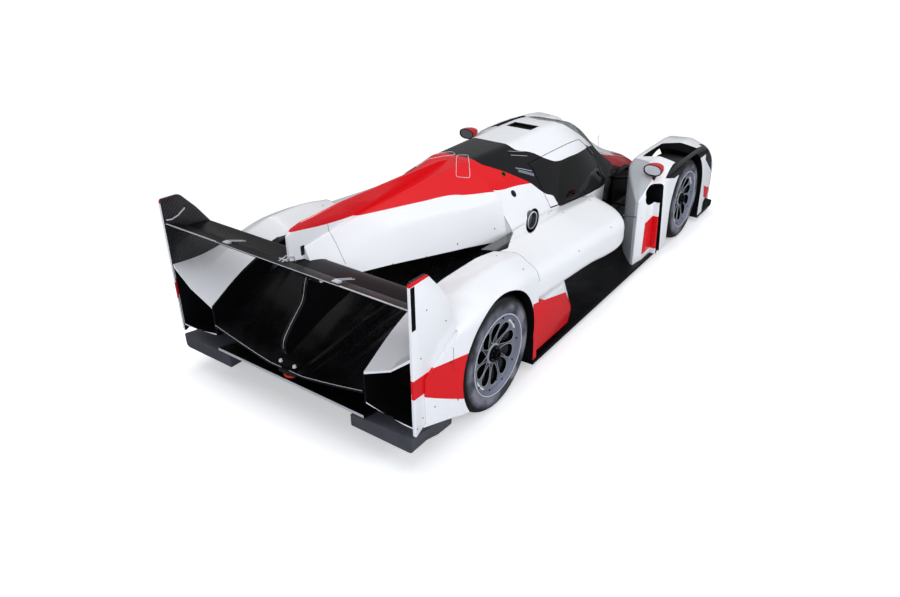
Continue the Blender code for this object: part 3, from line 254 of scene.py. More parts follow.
def weave_bump(tree, place, thread, depth, base, light, dark):
    """Twill of two crossed yarns: a checker of slanted floats, at the given thread width in metres."""
    split = add(tree, "SeparateXYZ", {0: place})
    along = add(tree, "Math", {0: split.outputs["X"], 1: split.outputs["Z"]}, operation="ADD")
    rows = []
    for output in (along, split.outputs["Y"]):
        rows.append(add(tree, "Math", {0: output, 1: 1.0 / thread}, operation="MULTIPLY"))
    step = add(tree, "Math", {0: rows[0]}, operation="FLOOR")
    lane = add(tree, "Math", {0: rows[1]}, operation="FLOOR")
    both = add(tree, "Math", {0: step, 1: lane}, operation="ADD")
    four = add(tree, "Math", {0: both, 1: 4.0}, operation="FLOORED_MODULO")
    over = add(tree, "Math", {0: four, 1: 1.5}, operation="LESS_THAN")
    rounds = []
    for row in rows:
        part = add(tree, "Math", {0: row}, operation="FRACT")
        off = add(tree, "Math", {0: part, 1: 0.5}, operation="SUBTRACT")
        bow = add(tree, "Math", {0: off, 1: off}, operation="MULTIPLY")
        rounds.append(add(tree, "Math", {0: bow, 1: -4.0, 2: 1.0}, operation="MULTIPLY_ADD"))
    height = add(tree, "Mix", {0: over, 2: rounds[0], 3: rounds[1]}, data_type="FLOAT")
    shade = add(tree, "Mix", {0: over, 6: linear(light), 7: linear(dark)}, data_type="RGBA")
    bump = add(tree, "Bump", {"Strength": 0.5, "Distance": depth, "Height": height})
    plug(tree, base, {"Base Color": shade, "Normal": bump})
    return over


def carbon_fibre(name, light, dark, roughness, coat, gloss=0.5):
    """Autoclaved carbon twill under satin or gloss lacquer: dark checks that catch the light in turn."""
    made, tree, shader, place = new_material(name, {"Base Color": linear(dark), "Roughness": roughness,
        "IOR": 1.5, "Specular IOR Level": gloss, "Coat Weight": coat, "Coat Roughness": 0.08})
    over = weave_bump(tree, place, YARN_WIDTH, 0.0006, shader, light, dark)
    grime = add(tree, "TexNoise", {"Scale": 9.0, "Detail": 5.0, "Roughness": 0.6, "Vector": place})
    wiped = add(tree, "MapRange", {0: grime, 1: 0.35, 2: 0.7, 3: roughness - 0.07, 4: roughness + 0.12})
    turn = add(tree, "Math", {0: over, 1: 0.05, 2: wiped}, operation="MULTIPLY_ADD")
    plug(tree, shader, {"Roughness": turn})
    return made


def satin_black(name, colour, roughness, gloss=0.35):
    """Lacquered composite: soft broad reflections, orange peel, and dust that lifts the dark in patches."""
    made, tree, shader, place = new_material(name, {"Base Color": linear(colour), "Roughness": roughness,
        "IOR": 1.5, "Specular IOR Level": gloss, "Coat Weight": gloss * 0.28, "Coat Roughness": 0.2})
    dust = add(tree, "TexNoise", {"Scale": 6.0, "Detail": 8.0, "Roughness": 0.65, "Vector": place})
    level = add(tree, "MapRange", {0: dust, 1: 0.4, 2: 0.85, 3: 0.0, 4: 0.35})
    shade = add(tree, "Mix", {0: level, 6: linear(colour), 7: linear("#1f2023")}, data_type="RGBA")
    rough = add(tree, "MapRange", {0: dust, 1: 0.3, 2: 0.8, 3: roughness - 0.06, 4: roughness + 0.1})
    peel = add(tree, "TexNoise", {"Scale": 120.0, "Detail": 2.0, "Vector": place})
    bump = add(tree, "Bump", {"Strength": 0.08, "Distance": 0.001, "Height": peel})
    plug(tree, shader, {"Base Color": shade, "Roughness": rough, "Normal": bump})
    return made


def worked_metal(name, colour, roughness, grain, strength, metallic=1.0):
    """Machined or anodised metal: fine tool marks roughen it unevenly."""
    made, tree, shader, place = new_material(name, {"Base Color": linear(colour), "Metallic": metallic,
        "Roughness": roughness})
    marks = add(tree, "TexNoise", {"Scale": grain, "Detail": 6.0, "Roughness": 0.7, "Vector": place})
    rough = add(tree, "MapRange", {0: marks, 1: 0.3, 2: 0.75, 3: roughness - 0.08, 4: roughness + 0.14})
    bump = add(tree, "Bump", {"Strength": strength, "Distance": 0.0004, "Height": marks})
    plug(tree, shader, {"Roughness": rough, "Normal": bump})
    return made


def wheel_finish():
    """Grey anodised magnesium: the dished spokes are painted darker than the ring that carries the bolts, as
    shade in the dish.
    """
    made = worked_metal("anodised_magnesium_wheel", "#8d92a3", 0.42, 30.0, 0.1, 0.5)
    tree = made.node_tree
    place = add(tree, "TexCoord").outputs["Object"]
    flat = add(tree, "VectorMath", {0: place, 1: (0.0, 1.0, 1.0)}, operation="MULTIPLY")
    radius = add(tree, "VectorMath", {0: flat}, operation="LENGTH")
    # Painted shade: the metal darkens from the ring in towards the hub
    outward = add(tree, "MapRange", {0: radius, 1: 0.12, 2: 0.19, 3: 0.0, 4: 1.0})
    shade = add(tree, "Mix", {0: outward, 6: linear("#4b4e58"), 7: linear("#8d92a3")}, data_type="RGBA")
    plug(tree, tree.nodes["Principled BSDF"], {"Base Color": shade})
    return made


def slick_rubber():
    """Slick tyre: moulded black rubber, satin, with brownish rubbed-on dust; the sidewall's lighter
    blue-grey, brighter in broad patches, is painted sheen, and the tread stays near black.
    """
    made, tree, shader, place = new_material("tyre_rubber_moulded",
        {"Base Color": linear("#161617"), "Roughness": 0.5, "IOR": 1.52, "Specular IOR Level": 0.7})
    scuff = add(tree, "TexNoise", {"Scale": 22.0, "Detail": 9.0, "Roughness": 0.72, "Vector": place})
    patch = add(tree, "TexNoise", {"Scale": 7.0, "Detail": 3.0, "Vector": place})
    level = add(tree, "Math", {0: scuff, 1: patch}, operation="MULTIPLY")
    share = add(tree, "MapRange", {0: level, 1: 0.25, 2: 0.42, 3: 0.0, 4: 0.65})
    flat = add(tree, "VectorMath", {0: place, 1: (0.0, 1.0, 1.0)}, operation="MULTIPLY")
    radius = add(tree, "VectorMath", {0: flat}, operation="LENGTH")
    by_bead = add(tree, "MapRange", {0: radius, 1: 0.25, 2: 0.3, 3: 1.0, 4: 0.15})
    worn = add(tree, "Math", {0: share, 1: by_bead}, operation="MULTIPLY")
    # Painted sheen: broad patches lift the sidewall from dark to light blue-grey
    broad = add(tree, "MapRange", {0: patch, 1: 0.42, 2: 0.58, 3: 0.0, 4: 1.0})
    wall = add(tree, "Mix", {0: broad, 6: linear("#3a3b42"), 7: linear("#7b7e8c")}, data_type="RGBA")
    shade = add(tree, "Mix", {0: worn, 6: wall, 7: linear("#8a7c6e")}, data_type="RGBA")
    tread = add(tree, "MapRange", {0: radius, 1: 0.286, 2: 0.322, 3: 0.0, 4: 1.0})
    toned = add(tree, "Mix", {0: tread, 6: shade, 7: linear("#0e0e10")}, data_type="RGBA")
    rough = add(tree, "MapRange", {0: level, 1: 0.2, 2: 0.45, 3: 0.3, 4: 0.55})
    bump = add(tree, "Bump", {"Strength": 0.25, "Distance": 0.0008, "Height": scuff})
    plug(tree, shader, {"Base Color": toned, "Roughness": rough, "Normal": bump})
    return made


def clear_sheet(name, tint, roughness=0.03, clearness=1.0):
    """Tinted hard-coated polycarbonate: dark to look through, bright in reflection."""
    made, tree, shader, place = new_material(name, {"Base Color": linear(tint), "Roughness": roughness,
        "IOR": 1.45, "Transmission Weight": clearness})
    haze = add(tree, "TexNoise", {"Scale": 14.0, "Detail": 4.0, "Vector": place})
    rough = add(tree, "MapRange", {0: haze, 1: 0.4, 2: 0.7, 3: roughness, 4: roughness + 0.05})
    plug(tree, shader, {"Roughness": rough})
    return made


def woven_cloth(name, colour):
    """Flame-resistant knitted cover: dull, with a fine twill and a faint sheen at the edges."""
    made, tree, shader, place = new_material(name, {"Base Color": linear(colour), "Roughness": 0.85,
        "Sheen Weight": 0.3, "Sheen Roughness": 0.5})
    weave_bump(tree, place, THREAD_WIDTH, 0.0008, shader, colour, "#202124")
    return made


# Shapes on the painted panels: each is a test on (distance from the middle, y, z) of the car at rest


def handed(outline):
    """1 for an outline that runs anticlockwise, else -1."""
    area = sum(a[0] * b[1] - b[0] * a[1] for a, b in zip(outline, outline[1:] + outline[:1]))
    return 1.0 if area > 0 else -1.0


def shape_test(tree, place, kind, plane, points):
    """1 inside a convex outline, or over or under a curve of (y, z) points, in one plane of the car."""
    if kind in ("over", "under"):
        low = min(p[0] for p in points)
        extent = max(p[0] for p in points) - low
        split = add(tree, "SeparateXYZ", {0: place})
        first = split.outputs["XYZ".index(plane[0].upper())]
        second = split.outputs["XYZ".index(plane[1].upper())]
        share = add(tree, "MapRange", {0: first, 1: low, 2: low + extent, 3: 0.0, 4: 1.0})
        curve = add(tree, "FloatCurve", {"Value": share})
        line = curve.mapping.curves[0]
        base = min(p[1] for p in points) - 0.01
        tall = max(p[1] for p in points) - base + 0.01
        for k, (a, b) in enumerate(points):
            spot = ((a - low) / extent, (b - base) / tall)
            if k < 2:
                line.points[k].location = spot
            else:
                line.points.new(*spot)
        curve.mapping.update()
        height = add(tree, "Math", {0: curve, 1: tall, 2: base}, operation="MULTIPLY_ADD")
        more, less = (second, height) if kind == "over" else (height, second)
        return add(tree, "Math", {0: more, 1: less}, operation="GREATER_THAN")
    turn = handed(points)
    least = None
    for a, b in zip(points, points[1:] + points[:1]):
        normal = [0.0, 0.0, 0.0]
        start = [0.0, 0.0, 0.0]
        for axis, n, s in zip(plane, (-(b[1] - a[1]) * turn, (b[0] - a[0]) * turn), a):
            normal["xyz".index(axis)] = n
            start["xyz".index(axis)] = s
        away = add(tree, "VectorMath", {0: place, 1: start}, operation="SUBTRACT")
        reach = add(tree, "VectorMath", {0: away, 1: normal}, operation="DOT_PRODUCT")
        least = add(tree, "Math", {0: least, 1: reach}, operation="MINIMUM") if least is not None else reach
    return add(tree, "Math", {0: least, 1: 0.0}, operation="GREATER_THAN")


def racing_paint(name, ground, layers):
    """Sprayed two-pack paint under clear lacquer, on carbon: high gloss, faint orange peel, dust low down.
    Layers are (colour, shapes), and a layer shows where all its shapes hold, on both sides of the car."""
    made, tree, shader, own = new_material(name, {"Base Color": linear(ground), "Roughness": 0.25,
        "IOR": 1.5, "Coat Weight": 0.3, "Coat Roughness": 0.05, "Specular IOR Level": 0.3})
    both = add(tree, "VectorMath", {0: own}, operation="ABSOLUTE")
    sides = add(tree, "SeparateXYZ", {0: both})
    plain = add(tree, "SeparateXYZ", {0: own})
    place = add(tree, "CombineXYZ", {0: sides.outputs["X"], 1: plain.outputs["Y"], 2: plain.outputs["Z"]})
    tone = add(tree, "TexNoise", {"Scale": 1.7, "Detail": 3.0, "Vector": own})
    drift = add(tree, "MapRange", {0: tone, 1: 0.3, 2: 0.7, 3: 0.96, 4: 1.0})
    colour = linear(ground)
    for code, shapes in layers:
        mask = None
        for kind, plane, points in shapes:
            test = shape_test(tree, place, kind, plane, points)
            if mask is not None:
                test = add(tree, "Math", {0: mask, 1: test}, operation="MULTIPLY")
            mask = test
        colour = add(tree, "Mix", {0: mask, 6: colour, 7: linear(code)}, data_type="RGBA")
    toned = add(tree, "VectorMath", {0: colour, "Scale": drift}, operation="SCALE")
    specks = add(tree, "TexNoise", {"Scale": 60.0, "Detail": 6.0, "Roughness": 0.75, "Vector": own})
    low = add(tree, "MapRange", {0: plain.outputs["Z"], 1: 0.05, 2: 0.42, 3: 0.55, 4: 0.0})
    spread = add(tree, "MapRange", {0: specks, 1: 0.48, 2: 0.72, 3: 0.0, 4: 0.5})
    dust = add(tree, "Math", {0: low, 1: spread}, operation="MULTIPLY")
    final = add(tree, "Mix", {0: dust, 6: toned, 7: linear("#6d6a68")}, data_type="RGBA")
    peel = add(tree, "TexNoise", {"Scale": 90.0, "Detail": 1.0, "Vector": own})
    bump = add(tree, "Bump", {"Strength": 0.035, "Distance": 0.001, "Height": peel})
    plug(tree, shader, {"Base Color": final, "Normal": bump})
    return made


MATERIALS = {
    "carbon_gloss": carbon_fibre("carbon_twill_gloss", "#26272b", "#0a0a0c", 0.3, 0.3),
    "carbon_satin": carbon_fibre("carbon_twill_satin", "#0d0e10", "#050506", 0.46, 0.03, 0.2),
    "inner_carbon": satin_black("bare_carbon_inner_face", "#0c0c0e", 0.5),
    "deck_black": satin_black("deck_black_lacquer", "#060607", 0.26),
    "wing_black": satin_black("wing_satin_lacquer", "#0c0a0c", 0.42, 0.12),
    "block_grey": satin_black("tail_block_charcoal", "#4b4c54", 0.5),
    "steel": worked_metal("turned_steel", "#8f9196", 0.32, 60.0, 0.2),
    "bright": worked_metal("polished_aluminium", "#d5d8dd", 0.16, 40.0, 0.05),
    "wheel_metal": wheel_finish(),
    "wheel_edge": worked_metal("machined_wheel_edge", "#cfd3da", 0.3, 40.0, 0.05, 0.6),
    "bolt_dark": worked_metal("black_oxide_bolts", "#2a2b2e", 0.4, 80.0, 0.1),
    "gold": worked_metal("yellow_anodised_ring", "#c9952b", 0.3, 60.0, 0.1),
    "rubber": slick_rubber(),
    "tinted": clear_sheet("tinted_polycarbonate", "#b4bcbc", 0.05, 0.78),
    "dark_pane": clear_sheet("smoked_polycarbonate", "#15171a"),
    "lens": clear_sheet("clear_lamp_cover", "#e8edf0"),
    "cloth": woven_cloth("knitted_seat_cover", "#141518"),
    "webbing": woven_cloth("harness_webbing", "#8a1218"),
    "seam": satin_black("seam_shadow", "#2d2e31", 0.7),
    "edge_light": satin_black("pale_edge_trim", "#c4c6cb", 0.35),
    "pale_tape_and_highlight": satin_black("white_tape", "#e6e8ec", 0.4),
    "tow_red": satin_black("tow_eye_red", "#d8341f", 0.4),
    "heat_grey": satin_black("heated_steel_grey", "#9a9ca2", 0.5),
    "carbon_disc": satin_black("carbon_brake_disc", "#050505", 0.65, 0.08),
    "mirror": worked_metal("silvered_mirror_glass", "#c3c6cc", 0.1, 20.0, 0.0, 1.0),
    "mirror_dark": satin_black("display_glass", "#0a0c10", 0.08),
    "housing_red": satin_black("mirror_shell_red", "#cf1b22", 0.25),
}

# Stations of the lofted panels, as in the solids
COCKPIT = [
    (TUB_FRONT, 0.3, 0.335, 0.6, 0.16, 0.7, 0.795, BODY_BOTTOM),
    (-1.05, 0.34, 0.385, 0.61, 0.205, 0.775, 0.885, BODY_BOTTOM),
    (-0.9, 0.38, 0.43, 0.622, 0.25, 0.84, 0.97, BODY_BOTTOM),
    (-0.7, 0.43, 0.475, 0.64, 0.3, 0.905, 1.06, BODY_BOTTOM),
    (-0.45, 0.475, 0.5, 0.655, 0.34, 0.95, 1.115, BODY_BOTTOM),
    (-0.15, 0.495, 0.508, 0.67, 0.35, 0.965, 1.122, BODY_BOTTOM),
    (0.25, 0.5, 0.51, 0.695, 0.335, 0.978, 1.118, BODY_BOTTOM),
    (TUB_REAR, 0.49, 0.5, 0.72, 0.3, 0.985, 1.12, BODY_BOTTOM),
]
NOSE = [
    (-2.29, 0.12, 0.15, 0.19, 0.09, 0.215, 0.232, 0.15),
    (-2.18, 0.175, 0.21, 0.24, 0.13, 0.31, 0.34, 0.12),
    (-1.95, 0.22, 0.255, 0.33, 0.16, 0.425, 0.46, 0.095),
    (-1.6, 0.262, 0.292, 0.45, 0.175, 0.545, 0.59, BODY_BOTTOM),
    (-1.38, 0.285, 0.317, 0.54, 0.165, 0.625, 0.69, BODY_BOTTOM),
    (TUB_FRONT - SEAT, 0.3, 0.335, 0.6, 0.16, 0.7, 0.795, BODY_BOTTOM),
]
FRONT_FENDER = [
    (-2.235, -0.06, 0.085, BODY_BOTTOM, 0.11, 0.29, 0.295, 0.25, 0.05),
    (-2.12, -0.05, 0.02, BODY_BOTTOM, 0.11, 0.51, 0.52, 0.47, 0.07),
    (-1.92, -0.035, 0.003, BODY_BOTTOM, 0.11, 0.715, 0.73, 0.665, 0.09),
    (-1.7, -0.025, 0.0, BODY_BOTTOM, 0.11, 0.772, 0.785, 0.72, 0.09),
    (-1.5, -0.015, 0.0, BODY_BOTTOM, 0.11, 0.78, 0.793, 0.735, 0.09),
    (-1.25, -0.01, 0.0, BODY_BOTTOM, 0.13, 0.785, 0.8, 0.74, 0.09),
    (-1.0, -0.008, 0.0, BODY_BOTTOM, 0.19, 0.78, 0.795, 0.735, 0.09),
    (-0.84, 0.02, 0.002, BODY_BOTTOM, 0.3, 0.76, 0.785, 0.705, 0.09),
    (-0.7, 0.088, 0.03, BODY_BOTTOM, 0.37, 0.715, 0.745, 0.655, 0.07),
    (-0.58, 0.17, 0.06, BODY_BOTTOM, 0.35, 0.66, 0.68, 0.615, 0.05),
    (-0.48, 0.245, 0.073, BODY_BOTTOM, 0.3, 0.6, 0.605, 0.58, 0.01),
]
REAR_FENDER = [
    (POD_REAR + SEAT, -0.02, 0.012, 0.112, 0.15, 0.745, 0.785, 0.7, 0.1),
    (1.35, -0.02, 0.002, 0.112, 0.15, 0.77, 0.815, 0.745, 0.1),
    (1.6, -0.02, 0.0, 0.12, 0.16, 0.77, 0.82, 0.755, 0.1),
    (1.85, -0.02, 0.0, 0.15, 0.19, 0.735, 0.775, 0.715, 0.07),
    (2.08, -0.02, 0.015, 0.225, 0.26, 0.65, 0.7, 0.7, 0.03),
    (REAR_END - 0.012, -0.02, 0.033, 0.3, 0.33, 0.52, 0.6, 0.725, 0.01),
]
SIDEPOD = [
    (POD_FRONT, 0.28, 0.43, 0.33, 0.63, 0.6),
    (-0.24, 0.125, 0.405, 0.31, 0.655, 0.6),
    (-0.14, 0.035, 0.385, 0.295, 0.668, 0.6),
    (-0.04, 0.014, 0.372, 0.28, 0.678, 0.605),
    (0.15, 0.013, 0.385, 0.25, 0.698, 0.62),
    (0.4, 0.012, 0.425, 0.2, 0.725, 0.64),
    (0.78, 0.012, 0.455, 0.16, 0.735, 0.67),
    (POD_REAR, 0.012, 0.48, 0.12, 0.745, 0.7),
]
COVER = [
    (COVER_FRONT, 0.48, 0.65, 0.4, 0.205, 0.13, 0.015),
    (1.05, 0.4, 0.69, 0.31, 0.205, 0.09, 0.045),
    (1.35, 0.31, 0.72, 0.215, 0.205, 0.055, 0.075),
    (1.7, 0.215, 0.76, 0.13, 0.215, 0.03, 0.105),
    (COVER_REAR, 0.1, 0.79, 0.05, 0.235, 0.014, 0.155),
]


# Making of meshes

CUT, JOIN, TRIM = "DIFFERENCE", "UNION", "INTERSECT"


def piece(name, form, material):
    """A mesh object with a named finish, not yet dressed; a tool's finish marks the faces that it cuts."""
    bmesh.ops.recalc_face_normals(form, faces=form.faces)
    mesh = bpy.data.meshes.new(name)
    form.to_mesh(mesh)
    form.free()
    mesh.materials.append(MATERIALS[material])
    return placed(name, mesh)


def dress(made, body, *stands_for, angle=34.0):
    """Smooth shading that breaks at real edges, and the body that carries the piece."""
    made.data.shade_smooth()
    made.data.set_sharp_from_angle(angle=radians(angle))
    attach(made, body)
    if stands_for:
        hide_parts(*stands_for)
    return made


def shaped(made, *steps):
    """Works the mesh with the tools in turn and drops them. A tool cuts, or does what comes with it."""
    tools = []
    for step in steps:
        tool, operation = step if isinstance(step, tuple) else (step, CUT)
        tools.append(tool)
        change = made.modifiers.new(tool.name, "BOOLEAN")
        change.operation = operation
        change.object = tool
        change.solver = "EXACT"
        change.material_mode = "TRANSFER"
    bpy.context.view_layer.update()
    mesh = bpy.data.meshes.new_from_object(made.evaluated_get(bpy.context.evaluated_depsgraph_get()))
    made.modifiers.clear()
    old = made.data
    made.data = mesh
    bpy.data.meshes.remove(old)
    for tool in tools:
        bpy.data.objects.remove(tool)
    return made


def bend(here, before, after, reach, steps):
    """Points that round off the corner at here, from the reach before it to the reach after it."""
    start, end = here + before.normalized() * reach, here + after.normalized() * reach
    return [start * (1 - t) ** 2 + here * 2 * t * (1 - t) + end * t * t
        for t in (k / steps for k in range(steps + 1))]


def rounded_ring(corners, y, finer=1, side=1):
    """Section across the car at station y. Each corner is (x, z, radius, arc steps)."""
    ring = []
    corners = [(side * x, z, radius, steps) for x, z, radius, steps in corners]
    count = len(corners)
    for i, (x, z, radius, steps) in enumerate(corners):
        here = Vector((x, z))
        before = Vector(corners[i - 1][:2]) - here
        after = Vector(corners[(i + 1) % count][:2]) - here
        if steps == 0:
            ring.append(Vector((x, y, z)))
            continue
        half = before.angle(after) / 2
        reach = min(radius / tan(half), 0.45 * before.length, 0.45 * after.length)
        ring += [Vector((p.x, y, p.y)) for p in bend(here, before, after, reach, steps * finer)]
    return ring


def read_off(stations, y):
    """One row of a station table at y, on a smooth curve through its rows."""
    last = len(stations) - 1
    i = max(0, min(last - 1, sum(1 for row in stations if row[0] <= y) - 1))
    a, b = stations[i], stations[i + 1]
    run = b[0] - a[0]
    t = min(1.0, max(0.0, (y - a[0]) / run))
    made = [y]
    for column in range(1, len(a)):
        slopes = []
        for j in (i, i + 1):
            low, here, high = stations[max(j - 1, 0)], stations[j], stations[min(j + 1, last)]
            turns = (high[column] - here[column]) * (here[column] - low[column]) < 1e-9 and 0 < j < last
            slopes.append(0.0 if turns else (high[column] - low[column]) / (high[0] - low[0]) * run)
        p, q = a[column], b[column]
        bend = (2 * t ** 3 - 3 * t ** 2 + 1) * p + (3 * t ** 2 - 2 * t ** 3) * q
        made.append(bend + (t ** 3 - 2 * t ** 2 + t) * slopes[0] + (t ** 3 - t ** 2) * slopes[1])
    return tuple(made)


def fair(stations, per_gap):
    rows = []
    for a, b in zip(stations, stations[1:]):
        rows += [read_off(stations, a[0] + (b[0] - a[0]) * k / per_gap) for k in range(per_gap)]
    return rows + [tuple(stations[-1])]


def loft(name, rings, material):
    """A closed skin through rings that have equal numbers of points."""
    form = bmesh.new()
    rows = [[form.verts.new(p) for p in ring] for ring in rings]
    count = len(rows[0])
    for a, b in zip(rows, rows[1:]):
        for i in range(count):
            j = (i + 1) % count
            if i < count // 2:
                form.faces.new((a[i], a[j], b[j]))
                form.faces.new((a[i], b[j], b[i]))
            else:
                form.faces.new((a[i], a[j], b[i]))
                form.faces.new((a[j], b[j], b[i]))
    form.faces.new(rows[0])
    form.faces.new(rows[-1])
    return piece(name, form, material)


def walls(form, rows, closed=False):
    """Faces between rows of corners, with both ends shut unless the rows close on themselves."""
    for a, b in list(zip(rows, rows[1:])) + ([(rows[-1], rows[0])] if closed else []):
        for i in range(len(a)):
            j = (i + 1) % len(a)
            form.faces.new((a[i], a[j], b[j], b[i]))
    if not closed:
        form.faces.new(rows[0])
        form.faces.new(rows[-1])


def prism(name, outline, along, low, high, material):
    """A flat outline pushed along one axis. The outline is in the other two axes, in XYZ order."""
    index = "XYZ".index(along)
    form = bmesh.new()
    corners = []
    for a, b in outline:
        point = [a, b]
        point.insert(index, low)
        corners.append(form.verts.new(point))
    face = form.faces.new(corners)
    moved = bmesh.ops.extrude_face_region(form, geom=[face])
    step = Vector([high - low if i == index else 0.0 for i in range(3)])
    bmesh.ops.translate(form, verts=[v for v in moved["geom"] if isinstance(v, bmesh.types.BMVert)], vec=step)
    return piece(name, form, material)


def block(name, low, high, material):
    low, high = Vector(low), Vector(high)
    return prism(name, [(low.x, low.y), (high.x, low.y), (high.x, high.y), (low.x, high.y)], "Z", low.z,
        high.z, material)


def round_bar(name, start, end, radius, segments, material, end_radius=None):
    start, end = Vector(start), Vector(end)
    run = end - start
    turn = Vector((0, 0, 1)).rotation_difference(run).to_matrix().to_4x4()
    form = bmesh.new()
    bmesh.ops.create_cone(form, cap_ends=True, segments=segments, radius1=radius,
        radius2=radius if end_radius is None else end_radius, depth=run.length,
        matrix=Matrix.Translation((start + end) / 2) @ turn)
    return piece(name, form, material)


def grown(outline, gap):
    """The outline moved outwards by a gap on every side."""
    turn = handed(outline)
    moved = []
    count = len(outline)
    for i in range(count):
        here = Vector(outline[i])
        back = (here - Vector(outline[i - 1])).normalized()
        ahead = (Vector(outline[(i + 1) % count]) - here).normalized()
        normals = Vector((back.y, -back.x)) * turn, Vector((ahead.y, -ahead.x)) * turn
        bisector = (normals[0] + normals[1]).normalized()
        shift = here + bisector * gap / max(0.3, bisector.dot(normals[0]))
        moved.append((shift.x, shift.y))
    return moved


def curved_outline(outline, sweep, steps=6):
    """The outline with each corner rounded off over the given length."""
    made = []
    count = len(outline)
    for i in range(count):
        here = Vector(outline[i])
        before, after = Vector(outline[i - 1]) - here, Vector(outline[(i + 1) % count]) - here
        reach = min(sweep, 0.45 * before.length, 0.45 * after.length)
        made += [(p.x, p.y) for p in bend(here, before, after, reach, steps)]
    return made


def side_name(side):
    return "left" if side > 0 else "right"


def span(side, near, far):
    """Low and high X between two distances from the middle, on one side of the car."""
    return sorted((side * near, side * far))


def sorted_box(a, b):
    return tuple(min(p, q) for p, q in zip(a, b)), tuple(max(p, q) for p, q in zip(a, b))


def around(radius, count, start=0.0, turn=2 * pi):
    """Points on a circle, as (radius times sine, radius times cosine), in equal steps."""
    angles = [start + turn * k / count for k in range(count)]
    return [(radius * sin(a), radius * cos(a)) for a in angles]


def joined(name, pieces):
    """Several small made objects as one mesh; each keeps its material."""
    form = bmesh.new()
    used = []
    for made in pieces:
        offset = len(used)
        for material in made.data.materials:
            used.append(material)
        before = len(form.faces)
        made.data.transform(made.matrix_world)
        form.from_mesh(made.data)
        form.faces.ensure_lookup_table()
        for face in form.faces[before:]:
            face.material_index += offset
        mesh = made.data
        bpy.data.objects.remove(made)
        bpy.data.meshes.remove(mesh)
    mesh = bpy.data.meshes.new(name)
    form.to_mesh(mesh)
    form.free()
    for material in used:
        mesh.materials.append(material)
    return placed(name, mesh)


def tube(name, points, radius, material, segments, closed=False):
    """Round rod along points, with a frame that doesn't twist."""
    points = [Vector(p) for p in points]
    count = len(points)
    form = bmesh.new()
    rows = []
    aside = None
    for i, here in enumerate(points):
        ahead = points[(i + 1) % count] if closed or i + 1 < count else here
        back = points[i - 1] if closed or i > 0 else here
        run = (ahead - back).normalized()
        if aside is None:
            aside = run.orthogonal().normalized()
        aside = (aside - run * aside.dot(run)).normalized()
        other = run.cross(aside)
        rows.append([form.verts.new(here + (aside * cos(a) + other * sin(a)) * radius)
            for a in (2 * pi * k / segments for k in range(segments))])
    walls(form, rows, closed)
    return piece(name, form, material)


# Paint schemes: white ground, red flashes, black shoulder and window band, all as plain shapes


def within(plane, *points):
    return "inside", plane, list(points)


def field(plane, a, b, c, d):
    return within(plane, (a, b), (c, b), (c, d), (a, d))


def above(line):
    return "over", "yz", line


def below(line):
    return "under", "yz", line


WHITE = "#f1f2f5"
RED = "#e0121b"
BLACK = "#0b0b0d"
RED_LINE = [(0.25, 0.885), (0.359, 0.9), (0.499, 0.92), (0.634, 0.932), (0.79, 0.962), (0.877, 0.97),
    (0.964, 0.98), (1.06, 0.996), (1.27, 1.003), (1.545, 1.018), (1.894, 1.048), (2.11, 1.082), (2.21, 1.1)]
ROOF_EDGE = [(-0.9, 0.835), (-0.693, 0.886), (-0.3, 0.925), (-0.082, 0.941), (0.019, 0.978), (0.125, 1.042),
    (0.237, 1.078), (0.268, 1.11), (0.29, 1.15)]
SILL_EDGE = [(-0.9, 0.59), (-0.697, 0.592), (-0.478, 0.616), (0.0, 0.665), (0.124, 0.688), (0.145, 0.76),
    (0.226, 0.8), (0.347, 0.907), (0.452, 0.971), (0.527, 1.017), (0.603, 1.056), (0.655, 1.084),
    (0.7, 1.15)]
BAND_TOP = [(1.8, 0.512), (1.913, 0.545), (2.01, 0.564), (2.125, 0.585), (2.234, 0.606), (2.33, 0.622)]
BAND_LOW = [(1.8, 0.215), (1.956, 0.286), (2.013, 0.318), (2.13, 0.388), (2.241, 0.459), (2.33, 0.52)]
WINDOW_BAND = below(ROOF_EDGE), above(SILL_EDGE)
